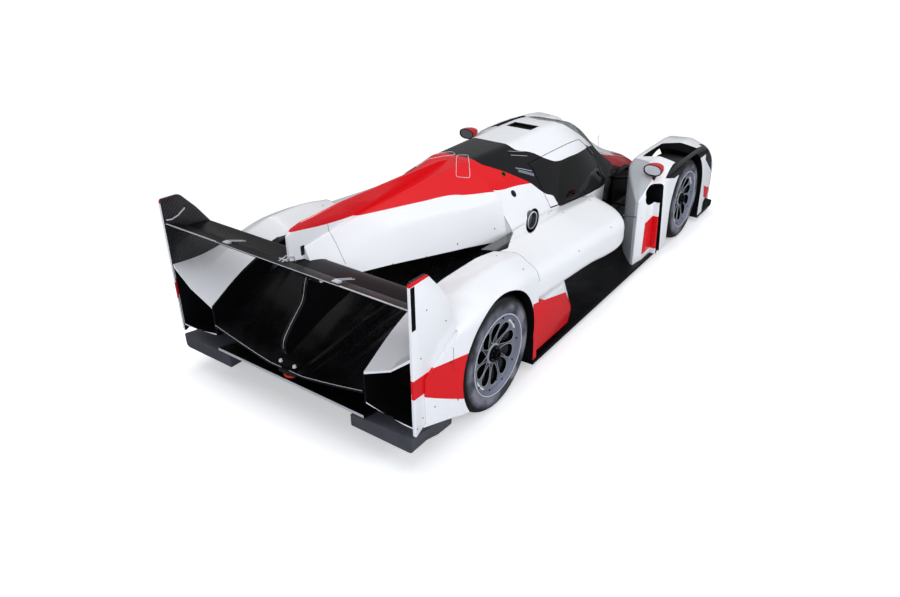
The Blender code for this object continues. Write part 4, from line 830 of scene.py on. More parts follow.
MATERIALS.update({
    "tub_paint": racing_paint("white_lacquer_cockpit", WHITE, [
        (RED, [above(RED_LINE), field("yz", 0.27, 0.8, 0.8, 1.2)]),
        (BLACK, list(WINDOW_BAND)),
        (BLACK, [within("yz", (-1.25, 0.0), (-0.76, 0.0), (-0.74, 0.6), (-1.25, 0.64))]),
        (BLACK, [above(SILL_EDGE), field("yz", 0.268, 0.6, 0.72, 1.2)]),
    ]),
    "cover_paint": racing_paint("white_lacquer_cover", WHITE, [
        (RED, [above(RED_LINE)]),
        (BLACK, [within("yz", (1.5, 0.3), (2.4, 0.3), (2.4, 0.785), (2.106, 0.785), (1.5, 0.715))]),
        (BLACK, [field("yz", 2.095, 0.7, 2.4, 0.882)]),
    ]),
    "nose_paint": racing_paint("red_lacquer_nose", "#c9161d", [
        (WHITE, [within("xy", (0.0, -2.4), (0.085, -2.4), (0.13, -1.1), (0.0, -1.1))]),
        (WHITE, [within("xy", (0.0, -1.5), (0.16, -1.62), (0.215, -1.1), (0.0, -1.1))]),
        (BLACK, [below([(-2.35, 0.1), (-1.95, 0.3), (-1.6, 0.44), (-1.38, 0.53), (-1.19, 0.6)])]),
    ]),
    "front_fender_paint": racing_paint("white_lacquer_front_fender", WHITE, [
        # Painted shade: the boat tail's inboard and rear faces in a flat silver-grey
        ("#b2b5bb", [within("xy", (0.5, -1.0), (0.74, -0.92), (0.866, -0.8), (0.866, -0.4), (0.5, -0.4)),
                     field("yz", -1.1, 0.02, -0.4, 0.79)]),
        (RED, [within("yz", (-0.796, 0.117), (-0.602, 0.117), (-0.611, 0.387), (-0.796, 0.402)),
               field("xz", 0.88, 0.0, 1.0, 0.6)]),
        (RED, [within("yz", (-2.02, 0.16), (-1.9, 0.22), (-1.86, 0.34), (-2.06, 0.26))]),
        (BLACK, [within("xy", (0.903, -1.95), (1.0, -1.95), (1.0, -0.8), (0.936, -0.8), (0.903, -1.06)),
                 within("yz", (-1.95, 0.655), (-1.02, 0.655), (-0.8, 0.712), (-0.8, 0.9), (-1.95, 0.9))]),
        (BLACK, [within("yz", (-2.06, 0.42), (-1.8, 0.6), (-1.76, 0.74), (-1.93, 0.75)),
                 within("xz", (0.86, 0.4), (1.0, 0.4), (1.0, 0.8), (0.88, 0.8))]),
    ]),
    "rear_fender_paint": racing_paint("white_lacquer_rear_fender", WHITE, [
        (RED, [below(BAND_TOP), above(BAND_LOW), field("xy", 0.872, 1.8, 1.0, 2.4)]),
        (RED, [within("yz", (1.0, 0.461), (1.22, 0.518), (1.22, 0.1), (1.0, 0.1))]),
        (BLACK, [field("xz", 0.5, 0.0, 0.606, 0.9),
                 within("yz", (1.1, 0.0), (1.86, 0.0), (1.86, 0.762), (1.1, 0.74))]),
        (BLACK, [field("xz", 0.5, 0.0, 0.588, 0.9)]),
    ]),
    "pod_paint": racing_paint("white_lacquer_sidepod", WHITE, [
        (RED, [within("yz", (0.56, 0.175), (0.783, 0.404), (1.16, 0.502), (1.16, 0.05), (0.48, 0.05)),
               field("xz", 0.78, 0.05, 1.0, 0.52)]),
        # Dark carbon below the pod, lifted to a blue-grey as a painted reflection
        ("#30343f", [below([(-0.4, 0.41), (-0.1, 0.4), (0.2, 0.415), (0.5, 0.462), (0.8, 0.404),
                                      (0.9, 0.2)]),
                     within("yz", (-0.4, 0.0), (0.56, 0.0), (0.56, 0.175), (0.765, 0.404), (0.7, 0.6),
                                       (-0.4, 0.6))]),
        (BLACK, [within("xy", (0.5, 0.76), (0.545, 0.82), (0.655, 1.06), (0.64, 1.16), (0.5, 1.16))]),
    ]),
    "endplate_paint": racing_paint("white_lacquer_endplate", WHITE, [
        (RED, [within("yz", (2.05, 1.1), (2.4, 1.093), (2.4, 1.2), (2.05, 1.2))]),
        (RED, [within("yz", (2.2, 0.475), (2.4, 0.487), (2.4, 0.596), (2.2, 0.585))]),
    ]),
})


def fender_ring(station, side):
    y, inner, outer, low, foot, inner_top, crown_top, outer_top, radius = station
    inner += FENDER_INNER
    outer = FENDER_OUTER - max(outer, 0.0)
    crown = (inner + outer) / 2 + 0.02
    sole = max(inner + 0.004, outer - 0.045 - (foot - low) * 0.9)
    corners = [(sole, low, 0, 0), (outer, low, 0, 0), (outer, outer_top, radius, 2),
        (crown, crown_top, radius, 1), (inner, inner_top, radius * 0.5, 1), (inner, foot, 0, 0)]
    return rounded_ring(corners, y, 5, side)


def mirror_foot(name, side, grow, material):
    x, y, z = side * 0.872, -0.69, 0.797
    return block(name, (x - 0.008 - grow, y - 0.09 - grow, z - 0.14 - grow),
        (x + 0.008 + grow, y - 0.04 + grow, z), material)


def front_fender(side):
    """Front wheel cover: vent above the tyre, lamp opening, wake channel and boat tail."""
    name = side_name(side)
    inside = "inner_carbon"
    made = loft(f"panel_front_fender_{name}", [fender_ring(s, side) for s in fair(FRONT_FENDER, 5)],
        "front_fender_paint")
    low, high = span(side, 0.45, PAST_FLANK)
    steps = [round_bar("arch", (side * 0.45, FRONT_AXLE, TYRE_RADIUS),
        (side * PAST_FLANK, FRONT_AXLE, TYRE_RADIUS), FRONT_ARCH, 96, inside)]
    slot = [(side * (FENDER_INNER + 0.055), -1.46), (side * (FENDER_OUTER - 0.022), -1.64),
        (side * (FENDER_OUTER - 0.022), -1.12), (side * (FENDER_INNER + 0.055), -1.01)]
    steps.append(prism("vent", curved_outline(slot, 0.03), "Z", 0.6, 1.0, inside))
    steps.append(block("gap", (low, FRONT_AXLE - FRONT_ARCH, 0.0),
        (high, FRONT_AXLE + FRONT_ARCH, TYRE_RADIUS), inside))
    channel = [(-0.862, 0.0), (-0.797, 0.0), (-0.77, 0.6), (-0.808, 0.6)]
    a, b = span(side, FENDER_OUTER - 0.15, PAST_FLANK)
    steps.append(prism("channel", channel, "X", a, b, inside))
    a, b = span(side, FENDER_OUTER - 0.055, PAST_FLANK)
    steps.append(prism("step", [(-0.78, 0.0), (-0.4, 0.0), (-0.4, 0.64), (-0.76, 0.64)], "X", a, b,
        "front_fender_paint"))
    hole = [(-0.806, 0.515), (-0.65, 0.525), (-0.58, 0.565), (-0.585, 0.64), (-0.68, 0.69), (-0.806, 0.674)]
    a, b = span(side, FENDER_OUTER - 0.17, PAST_FLANK)
    steps.append(prism("outlet", curved_outline(hole, 0.05), "X", a, b, inside))
    steps.append(mirror_foot("socket", side, SEAT, inside))
    steps.append(lens_zone("lamp_opening", side, SEAT, inside))
    shaped(made, *steps)
    lip = []
    for y, x, z, size in ((-0.79, 0.912, 0.698, 0.25), (-0.85, 0.917, 0.708, 0.5),
            (-0.93, 0.922, 0.719, 0.8), (-1.02, 0.926, 0.728, 1.0), (-1.15, 0.928, 0.734, 1.0),
            (-1.35, 0.927, 0.735, 1.0), (-1.55, 0.923, 0.731, 1.0), (-1.7, 0.915, 0.722, 1.0),
            (-1.8, 0.908, 0.705, 1.0)):
        lip.append([Vector((side * (x + a * size), y, z + b * size)) for a, b in ((-0.018, -0.008),
            (0.014, -0.009), (0.017, 0.0), (0.01, 0.008), (-0.016, 0.01))])
    dress(loft(f"arch_lip_{name}", lip, "carbon_gloss"), "chassis")
    return dress(made, "chassis", f"front_fender_{name}")


def lens_zone(name, side, grow, material):
    low, high = span(side, 0.64 - grow, 0.88 + grow)
    return block(name, (low, -2.3, 0.28 - grow), (high, -2.02 + grow, 0.44 + grow), material)


ENDPLATE_SIDE = [(2.318, 0.25), (2.318, FIN_TOP - 0.015), (2.19, FIN_TOP - 0.019),
    (2.092, WING_FRONT_HEIGHT + 0.124), (2.002, WING_FRONT_HEIGHT - 0.004), (1.965, 0.7), (2.236, 0.56),
    (2.236, 0.29)]


def rear_fender(side):
    """Rear wheel cover with its hollow tail; the endplate is let into its outer face."""
    name = side_name(side)
    inside = "inner_carbon"
    made = loft(f"panel_rear_fender_{name}", [fender_ring(s, side) for s in fair(REAR_FENDER, 8)],
        "rear_fender_paint")
    axle = REAR_AXLE - 0.012
    low, high = span(side, 0.45, PAST_FLANK)
    steps = [round_bar("arch", (side * 0.45, axle, TYRE_RADIUS + 0.004),
        (side * PAST_FLANK, axle, TYRE_RADIUS + 0.004), REAR_ARCH, 96, inside)]
    steps.append(block("gap", (low, axle - REAR_ARCH, 0.0), (high, axle + 0.28, TYRE_RADIUS - 0.08), inside))
    rings = []
    for y, bottom, low_in, top_in, top, top_out in ((2.04, 0.26, 0.3, 0.56, 0.6, 0.62),
            (REAR_END - 0.012, 0.308, 0.338, 0.508, 0.588, 0.69),
            (REAR_END + 0.02, 0.308, 0.338, 0.508, 0.588, 0.69)):
        rings.append([Vector((side * x, y, z)) for x, z in ((FENDER_INNER - 0.012, low_in),
            (FENDER_INNER + 0.15, bottom), (WING_HALF_SPAN - 0.004, bottom),
            (WING_HALF_SPAN - 0.004, top_out), (0.766, top), (FENDER_INNER - 0.012, top_in))])
    steps.append(loft("tail_hollow", rings, inside))
    a, b = span(side, WING_HALF_SPAN, PAST_FLANK)
    steps.append(prism("rebate", grown(ENDPLATE_SIDE, SEAT), "X", a, b, "rear_fender_paint"))
    shaped(made, *steps)
    return dress(made, "chassis", f"rear_fender_{name}")


def outlet_duct(name, side, start, end, radius, material):
    """Round duct from the exhaust's mouth outwards, back and up: the way in which it blows."""
    rings = []
    for k in range(5):
        x = start + (end - start) * k / 4
        y, z = EXHAUST[0] + 1.777 * (x - EXHAUST_MOUTH), EXHAUST[1] + 0.846 * (x - EXHAUST_MOUTH)
        rings.append([Vector((side * x, y + a, z + b)) for b, a in around(radius, 56)])
    return loft(name, rings, material)


def sidepod(side):
    """Waisted pod beside the tub, its mouth, and the lower panel ahead of the rear wheel."""
    name = side_name(side)
    rings = []
    inner = POD_INNER
    for y, short, low_out, low_in, top_in, top_out in fair(SIDEPOD, 6):
        outer = FENDER_OUTER - short
        reach = outer - inner
        corners = [(inner, low_in, 0, 0), (outer - 0.35 * reach, low_out - 0.025, 0.05, 1),
            (outer, low_out + 0.035, 0.06, 2), (outer, top_out, 0.1, 3),
            (inner + 0.25 * reach, top_in + 0.012, 0.1, 2), (inner, top_in - 0.01, 0, 0)]
        rings.append(rounded_ring(corners, y, 4, side))
    made = loft(f"panel_sidepod_{name}", rings, "pod_paint")
    lower = []
    rows = ((0.112, 0.6, 0.048), (0.18, 0.585, 0.04), (0.3, 0.66, 0.024), (0.48, 0.76, 0.014))
    for z, front, short in fair(rows, 5):
        outer = FENDER_OUTER - short
        lower.append([Vector((side * inner, front + 0.03, z)), Vector((side * (outer - 0.09), front, z)),
            Vector((side * (outer - 0.02), front + 0.02, z)), Vector((side * outer, front + 0.07, z)),
            Vector((side * outer, POD_REAR, z)), Vector((side * inner, POD_REAR, z))])
    base = [(0.2, BODY_BOTTOM), (POD_REAR, BODY_BOTTOM), (POD_REAR, 0.3), (0.0, 0.34)]
    low, high = span(side, inner, inner + 0.06)
    mouth = []
    near = inner + 0.045
    for y, wide in ((POD_FRONT - 0.05, 0.09), (-0.2, 0.16), (POD_FRONT + 0.35, 0.2)):
        corners = ((near, 0.42), (near + wide, 0.44), (near + wide, 0.545), (near, 0.58))
        mouth.append([Vector((side * x, y, z)) for x, z in corners])
    shaped(made, (loft("lower", lower, "pod_paint"), JOIN),
        (prism("keel", base, "X", low, high, "inner_carbon"), JOIN), loft("mouth", mouth, "inner_carbon"),
        outlet_duct("outlet_scoop", side, 0.5, 0.69, 0.0855, "pod_paint"))
    return dress(made, "chassis", f"sidepod_{name}")


SPINE = [(1.6, 0.62), (1.6, 0.8), (2.06, 0.86), (2.11, 0.78), (2.14, 0.67), (2.255, 0.56), (2.315, 0.49),
    (2.315, 0.4), (2.0, 0.52)]


def wing_section(front, height, chord, tilt, thickness, grow, steps=7):
    """Cambered section as (y, z): round nose at the front, thin edge at the rear."""
    points = []
    for k in range(steps + 1):
        t = (k / steps) ** 1.5
        points.append((t, thickness * 1.9 * sqrt(t) * (1 - t) + 0.002 + grow))
    for k in range(steps, -1, -1):
        t = (k / steps) ** 1.5
        points.append((t, -thickness * 2.6 * sqrt(t) * (1 - t) - 0.001 - grow))
    turn = radians(tilt)
    made = []
    for t, rise in points:
        along = front + t * chord * cos(turn) - rise * sin(turn)
        made.append((along + (t - 0.5) * 2 * grow, height + t * chord * sin(turn) + rise * cos(turn)))
    return made


def engine_cover():
    """Cover that narrows to the tail, the tall centre fin and the spine below the wing."""
    rings = []
    for y, low_half, low, mid_half, mid, top_half, top in fair(COVER, 8):
        flank = [(low_half, low, 0, 0), (mid_half, FIN_TOP - mid, 0.1, 2),
            (top_half, FIN_TOP - top, 0.04, 1)]
        rings.append(rounded_ring(flank + [(-x, z, r, n) for x, z, r, n in reversed(flank)], y, 6))
    made = loft("panel_engine_cover", rings, "cover_paint")
    fin = [(COVER_FRONT + 0.001, FIN_TOP - 0.185), (COVER_FRONT + 0.001, FIN_TOP - 0.02), (0.9, FIN_TOP),
        (1.8, FIN_TOP), (2.1, FIN_TOP - 0.015), (2.165, FIN_TOP - 0.03), (FIN_REAR, FIN_TOP - 0.06),
        (FIN_REAR + 0.002, FIN_TOP - 0.198), (COVER_REAR - 0.05, FIN_TOP - 0.235)]
    outline = wing_section(WING_FRONT, WING_FRONT_HEIGHT, WING_CHORD, WING_TILT, WING_THICKNESS, 0.0015)
    shaped(made, (prism("fin", fin, "X", -FIN_HALF, FIN_HALF, "cover_paint"), JOIN),
        (prism("spine", curved_outline(SPINE, 0.04), "X", -SPINE_HALF, SPINE_HALF, "cover_paint"), JOIN),
        prism("wing_slot", outline, "X", -0.3, 0.3, "inner_carbon"))
    return dress(made, "chassis", "engine_cover", angle=30.0)


for panel in (front_fender, rear_fender, sidepod):
    for side in (1, -1):
        panel(side)
engine_cover()


# Cockpit


def hull_ring(station, inset):
    """Hull section, sunk by the inset: sill, belt, roof rail and crown."""
    y, sill, belt, belt_height, rail, rail_height, roof, low = station
    crown = rail * 0.45
    half = [(sill - inset, low + inset, 0.03, 1), (belt - inset, belt_height, 0.1, 2),
        (rail - inset * 0.8, rail_height - inset * 0.6, 0.12, 2), (crown, roof - inset, 0.1, 1)]
    corners = half + [(-x, z, r, n) for x, z, r, n in reversed(half)]
    return rounded_ring(corners, y, 5)


def hull_solid(name, inset, start, end, material):
    rows = [read_off(COCKPIT, start)]
    rows += [r for r in fair(COCKPIT, 6) if start + 0.012 < r[0] < end - 0.012]
    rows += [read_off(COCKPIT, end)]
    return loft(name, [hull_ring(row, inset) for row in rows], material)


def whole_hull(name, inset, material):
    """The hull from end to end; a sunk one runs past both ends, so that it cuts them open."""
    past = 0.001 if inset else 0.0
    return hull_solid(name, inset, TUB_FRONT - past, TUB_REAR + past, material)


def door_outline(x):
    """Door seen from the side at distance x from the middle, as (y, z), with its slanted edges."""
    out = x - 0.31
    along = (-0.56 + 0.73) / (1.0 - 0.8)
    rise = out * 1.24
    return [(-0.7 - out * 0.35, 0.605), (0.235, 0.714), (0.245, 1.0 + rise),
        (-0.56 + rise * along, 1.0 + rise), (-0.73, 0.8)]


def door_block(name, side, gap, material):
    rings = []
    for x in (0.18, 0.8):
        outline = door_outline(x)
        if gap:
            outline = grown(outline, gap)
            outline[0] = (outline[0][0] - 0.013, outline[0][1])
            outline[4] = (outline[4][0] - 0.013 / 4, outline[4][1])
        rings.append([Vector((side * x, y, z)) for y, z in outline])
    return loft(name, rings, material)


DOOR_WINDOW = [(-0.655, 0.632), (0.115, 0.722), (-0.12, 0.915), (-0.58, 0.895), (-0.665, 0.8)]
SCREEN = [(0.0, TUB_FRONT + 0.055), (0.145, TUB_FRONT + 0.062), (0.275, -0.86), (0.205, -0.61),
    (0.15, -0.47), (0.0, -0.43)]


def screen_outline():
    return SCREEN + [(-x, y) for x, y in reversed(SCREEN) if x > 0]


def skin_point(y, z, inset):
    """The point of the hull's left flank at y and z, sunk by the inset."""
    ring = hull_ring(read_off(COCKPIT, y), inset)
    crossings = []
    for a, b in zip(ring, ring[1:] + ring[:1]):
        if (a.z - z) * (b.z - z) <= 0 and abs(a.z - b.z) > 1e-9:
            crossings.append(a.x + (b.x - a.x) * (z - a.z) / (b.z - a.z))
    return Vector((max(crossings), y, z))


HINGE = Vector((0.362328, -0.733048, 0.802591)), Vector((-0.292842, 0.619256, 0.728537)).normalized()


def hinge_parts(side):
    """Door hinge: turned barrels outside the skin, each on a short arm into its panel."""
    name = side_name(side)
    rise = Vector((0.17, 0.2)).normalized()
    tub_parts, door_parts = [], []
    for low, high, behind, owner in ((0.04, 0.07, -0.018, tub_parts), (0.07, 0.11, 0.018, door_parts),
            (0.11, 0.14, -0.018, tub_parts)):
        ends = [HINGE[0] + HINGE[1] * v for v in (low + 0.0004, high - 0.0004)]
        middle = HINGE[0] + HINGE[1] * (low + high) / 2
        foot = skin_point(middle.y + rise.y * behind, middle.z - rise.x * behind, 0.01)
        for a, b, radius in ((*ends, 0.01), (middle, foot, 0.007)):
            owner.append(round_bar("hinge", (side * a.x, a.y, a.z), (side * b.x, b.y, b.z), radius, 24,
                "steel"))
    dress(joined(f"hinge_fixed_{name}", tub_parts), "chassis")
    dress(joined(f"hinge_swinging_{name}", door_parts), f"door_{name}")


def cockpit():
    """Hollow cabin shell with its doors, side windows and windscreen."""
    inside = "inner_carbon"
    tub = whole_hull("panel_tub", 0.0, "tub_paint")
    steps = [hull_solid("cabin", TUB_WALL, TUB_FRONT + 0.1, CABIN_REAR, inside),
        prism("screen_hole", grown(screen_outline(), SEAT), "Z", 0.69, 1.3, inside),
        block("roof_inlet", (-0.1, -0.24, ROOF_MIDDLE - 0.02), (0.1, -0.13, 1.3), inside)]
    for side in (1, -1):
        steps.append(door_block("door_hole", side, 0.008, inside))
        y, z = EXHAUST
        steps.append(round_bar("exhaust_socket", (side * 0.452, y, z), (side * 0.6, y, z), 0.0635, 64,
            inside))
        steps.append(outlet_duct("exhaust_recess", side, 0.47, 0.69, 0.085, inside))
    shaped(tub, *steps)
    dress(tub, "chassis", "tub")
    screen = whole_hull("windscreen_sheet", 0.0, "tinted")
    shaped(screen, whole_hull("screen_inside", 0.005, "tinted"),
        (prism("screen_edge", screen_outline(), "Z", 0.69 + SEAT, 1.3, "tinted"), TRIM))
    dress(screen, "chassis", "windscreen")
    for side in (1, -1):
        name = side_name(side)
        low, high = span(side, 0.12, 0.8)
        door = whole_hull(f"panel_door_{name}", 0.0, "tub_paint")
        shaped(door, whole_hull("door_inside", TUB_WALL * 0.6, inside),
            (door_block("door_edge", side, 0.0, "tub_paint"), TRIM),
            prism("window_hole", grown(DOOR_WINDOW, SEAT), "X", low, high, inside))
        dress(door, f"door_{name}", f"door_{name}")
        pane = whole_hull(f"pane_door_{name}", 0.0, "dark_pane")
        shaped(pane, whole_hull("pane_inside", 0.005, "dark_pane"),
            (prism("pane_edge", DOOR_WINDOW, "X", low, high, "dark_pane"), TRIM))
        dress(pane, f"door_{name}", f"door_window_{name}")
        hinge_parts(side)


def nose():
    made = loft("panel_nose", [hull_ring(row, 0.0) for row in fair(NOSE, 8)], "nose_paint")
    steps = []
    for side in (1, -1):
        low, high = span(side, 0.285 - SEAT, 0.336 + SEAT)
        steps.append(block("plate_rebate", (low, FRONT_AXLE - 0.1803, 0.2197),
            (high, FRONT_AXLE + 0.1803, 0.5003), "inner_carbon"))
    shaped(made, *steps)
    dress(made, "chassis", "nose")


# Wheels

SPOKES = 10


def turned(name, profile, material, steps=96, side=1):
    """Turns a profile of (x, radius) pairs about the axle; a radius of nought closes the end."""
    form = bmesh.new()
    rows = []
    for x, r in profile:
        if r < 1e-6:
            rows.append([form.verts.new((side * x, 0.0, 0.0))])
        else:
            rows.append([form.verts.new((side * x, y, z)) for y, z in around(r, steps)])
    pairs = list(zip(rows, rows[1:]))
    if profile[0][1] > 1e-6:
        pairs.append((rows[-1], rows[0]))
    for a, b in pairs:
        for k in range(steps):
            j = (k + 1) % steps
            if len(a) == 1:
                form.faces.new((a[0], b[j], b[k]))
            elif len(b) == 1:
                form.faces.new((a[k], a[j], b[0]))
            else:
                form.faces.new((a[k], a[j], b[j], b[k]))
    return piece(name, form, material)


def tyre_profile():
    """Slick section: bead, bulged sidewall with a guard rib, rounded shoulder and a nearly flat tread."""
    half = [(BEAD_HALF_WIDTH - 0.002, BEAD_RADIUS), (BEAD_HALF_WIDTH + 0.006, BEAD_RADIUS + 0.006),
        (BEAD_HALF_WIDTH + 0.0095, 0.246), (BEAD_HALF_WIDTH + 0.0105, 0.252),
        (BEAD_HALF_WIDTH + 0.0095, 0.254), (0.1522, 0.266), (TYRE_HALF_WIDTH, 0.28), (0.1546, 0.292),
        (0.1528, 0.304), (0.1492, 0.316), (0.1436, 0.327), (0.136, 0.337), (0.126, 0.3445), (0.113, 0.35),
        (0.098, 0.3532), (0.07, 0.3547), (0.035, TYRE_RADIUS)]
    return half + [(-x, r) for x, r in reversed(half)]


def petal(middle, side):
    """Outline of one window in the wheel's face, as (angle, radius): a leaf that leans like the spokes."""
    made = []
    for angle, radius in ((-9.0, 0.08), (-14.0, 0.104), (-15.8, 0.14), (-14.0, 0.172), (-8.0, 0.19),
            (0.0, 0.195), (8.0, 0.19), (14.0, 0.172), (15.8, 0.14), (13.5, 0.104), (8.0, 0.08),
            (0.0, 0.067)):
        lean = (radius - 0.14) * 85.0
        made.append((middle + side * radians(angle + lean), radius))
    return made


def smooth_run(a, b, c, d, steps):
    """Points from b towards c on the smooth curve through all four."""
    return [0.5 * (2 * b + (c - a) * t + (2 * a - 5 * b + 4 * c - d) * t ** 2
        + (3 * b - a - 3 * c + d) * t ** 3) for t in (k / steps for k in range(steps))]


def smooth_loop(points, steps):
    """A closed loop through points, with added points on a smooth curve."""
    count = len(points)
    made = []
    for i in range(count):
        made += smooth_run(*(Vector(points[(i + k) % count]) for k in (-1, 0, 1, 2)), steps)
    return made


def smooth_line(points):
    """Points of an open line with added points on a smooth curve."""
    ends = [Vector(points[0]) * 2 - Vector(points[1])] + [Vector(p) for p in points]
    ends.append(Vector(points[-1]) * 2 - Vector(points[-2]))
    made = []
    for four in zip(ends, ends[1:], ends[2:], ends[3:]):
        made += smooth_run(*four, 5)
    return made + [Vector(points[-1])]


def wheel(end, side, axle):
    """Forged wheel: flange ring with its row of bolts, ten leaning windows, dished hub, centre nut."""
    name = f"{end}_{side_name(side)}"
    body = f"wheel_{name}"
    place = Vector((side * TRACK_HALF, axle, TYRE_RADIUS))
    slick = turned(f"slick_{name}", tyre_profile(), "rubber")
    slick.location = place
    dress(slick, body, f"tyre_{name}")
    wall = 0.2222
    outer = [(0.134, 0.0), (0.134, 0.03), (0.12, 0.044), (0.112, 0.062), (0.11, 0.08), (0.114, 0.11),
        (0.121, 0.15), (0.127, 0.19), (0.131, 0.206), (0.1335, 0.209), (0.1335, 0.2195), (0.138, wall),
        (0.15, 0.236), (0.1525, 0.2405), (0.153, 0.2455), (0.151, FLANGE_RADIUS), (0.143, 0.2455),
        (BEAD_HALF_WIDTH + 0.0004, 0.2302)]
    inner = [(-0.1404, 0.2302), (-0.151, FLANGE_RADIUS), (-0.153, 0.241), (-0.143, wall), (0.104, wall),
        (0.1, 0.19), (0.094, 0.15), (0.086, 0.11), (0.08, 0.08), (0.07, 0.06), (0.04, 0.05), (0.04, 0.0308),
        (0.096, 0.0308), (0.096, 0.0)]
    made = turned(f"wheel_{name}", outer + inner, "wheel_metal", side=side)
    windows = bmesh.new()
    edges = []
    for k in range(SPOKES):
        loop = smooth_loop([(r * sin(a), r * cos(a)) for a, r in petal(2 * pi * k / SPOKES, side)], 3)
        rows = [[windows.verts.new((side * x, p.x, p.y)) for p in loop] for x in (0.06, 0.16)]
        walls(windows, rows)
        edges.append(loop)
    # Painted shade: the windows' cut walls and the back of the dish seen through them take the near-black
    # brake disc finish
    shaped(made, piece("wheel_windows", windows, "carbon_disc"))
    for material in ("carbon_disc", "wheel_edge"):
        made.data.materials.append(MATERIALS[material])
    for face in made.data.polygons:
        out, away = face.center.x * side, face.center.yz.length
        if abs(face.normal.x) > 0.2 and out < 0.106 and away > 0.052:
            face.material_index = len(made.data.materials) - 2
        # Painted highlight: the hub's cone takes the pale edge finish
        elif 0.048 < away < 0.06 and out > 0.106:
            face.material_index = len(made.data.materials) - 1
    made.location = place
    dress(made, body, f"rim_{name}", angle=28.0)

    def face_depth(radius):
        rows = [(0.062, 0.112), (0.08, 0.11), (0.11, 0.114), (0.15, 0.121), (0.19, 0.127), (0.206, 0.131)]
        for (r1, x1), (r2, x2) in zip(rows, rows[1:]):
            if r1 <= radius <= r2:
                return x1 + (x2 - x1) * (radius - r1) / (r2 - r1)
        return 0.131

    fittings = []
    # Pale lips round the windows: machined edges, brightened as painted highlights
    for loop in edges:
        points = [(side * (face_depth(p.length) + 0.0006), p.x, p.y) for p in loop]
        fittings.append(tube("window_edge", points, 0.0018, "wheel_edge", 6, closed=True))
    for y, z in around(0.2145, SPOKES, pi / SPOKES):
        fittings.append(round_bar("flange_bolt", (side * 0.131, y, z), (side * 0.1368, y, z), 0.0058, 12,
            "carbon_disc"))
    # Painted highlight: a thin white ring at the flange's rim
    edge = [(side * 0.1525, y, z) for y, z in around(0.243, 96)]
    fittings.append(tube("flange_edge", edge, 0.0022, "pale_tape_and_highlight", 8, closed=True))
    for start in (-66, 114):
        arc = [(side * 0.13, y, z) for y, z in around(0.208, 8, radians(start), radians(32))]
        fittings.append(tube("balance_tape", arc, 0.007, "pale_tape_and_highlight", 10))
    nut = [(0.104, 0.0), (0.104, 0.05), (0.128, 0.05), (0.131, 0.046), (0.131, 0.034), (0.146, 0.032),
        (0.149, 0.028), (0.149, 0.014), (0.14, 0.012), (0.14, 0.0)]
    fittings.append(turned("centre_nut", nut, "bolt_dark", 48, side))
    for y, z in around(0.041, SPOKES):
        fittings.append(round_bar("drive_pin", (side * 0.124, y, z), (side * 0.138, y, z), 0.0045, 12,
            "bright"))
    fittings.append(round_bar("valve", (side * 0.134, 0.0, -0.17), (side * 0.146, 0.0, -0.17), 0.0035, 10,
        "bright"))
    trim = joined(f"wheel_fittings_{name}", fittings)
    trim.location = place
    dress(trim, body)
    disc = turned(f"brake_disc_{name}", [(0.016, 0.09), (0.016, 0.186), (0.046, 0.186), (0.046, 0.09)],
        "carbon_disc", side=side)
    disc.location = place
    dress(disc, body)


cockpit()
nose()
for end, axle in (("front", FRONT_AXLE), ("rear", REAR_AXLE)):
    for side in (1, -1):
        wheel(end, side, axle)


# Trim laid on the skins


def skin_of(*panels):
    """Search tree of dressed panels, in the car's own space."""
    form = bmesh.new()
    for made in panels:
        form.from_mesh(made.data)
    tree = BVHTree.FromBMesh(form)
    form.free()
    return tree


def laid(skin, points):
    """A line of points snapped on the skin, a short step apart, each with the skin's normal."""
    made = []
    for a, b in zip(points, points[1:]):
        a, b = Vector(a), Vector(b)
        count = max(1, ceil((b - a).length / LAID_STEP))
        made += [a.lerp(b, k / count) for k in range(count)]
    made.append(Vector(points[-1]))
    return [skin.find_nearest(p)[:2] for p in made]


def ribbon(name, skin, points, width, material, lift=0.0006):
    """Thin stripe, tape or seam that follows the skin."""
    spots = laid(skin, points)
    form = bmesh.new()
    rows = []
    for i, (here, normal) in enumerate(spots):
        run = spots[min(i + 1, len(spots) - 1)][0] - spots[max(i - 1, 0)][0]
        aside = normal.cross(run).normalized() * width / 2
        up = normal * lift
        rows.append([form.verts.new(p) for p in (here - aside - up, here - aside + up, here + aside + up,
            here + aside - up)])
    walls(form, rows)
    return piece(name, form, material)


def stud(name, skin, place, radius, material, height=0.0016, segments=16):
    """Low round fastener head on the skin, its rim chamfered."""
    here, normal = skin.find_nearest(Vector(place))[:2]
    return round_bar(name, here - normal * 0.001, here + normal * height, radius, segments, material,
        radius * 0.82)


def mirrored(points, side):
    return [(side * x, y, z) for x, y, z in points]


def dropped(skin, x, y):
    """Where a plumb line from above the car meets the skin, and the skin's normal there."""
    return skin.ray_cast(Vector((x, y, 1.5)), Vector((0, 0, -1)))[:2]


# Wing, tail and underside


def plate_form(name, outline, low, high, outer_paint, inner_material, side):
    """Side plate with rounded edges: painted outside, bare weave on the face towards the wing."""
    made = prism(name, curved_outline(outline, 0.02, 5), "X", *span(side, low, high), outer_paint)
    bevel = made.modifiers.new("edge", "BEVEL")
    bevel.width = 0.0025
    bevel.segments = 2
    bevel.limit_method = "ANGLE"
    shaped(made)
    made.data.materials.append(MATERIALS[inner_material])
    for face in made.data.polygons:
        if face.normal.x * side < -0.7 or face.normal.z > 0.6:
            face.material_index = 1
    return made


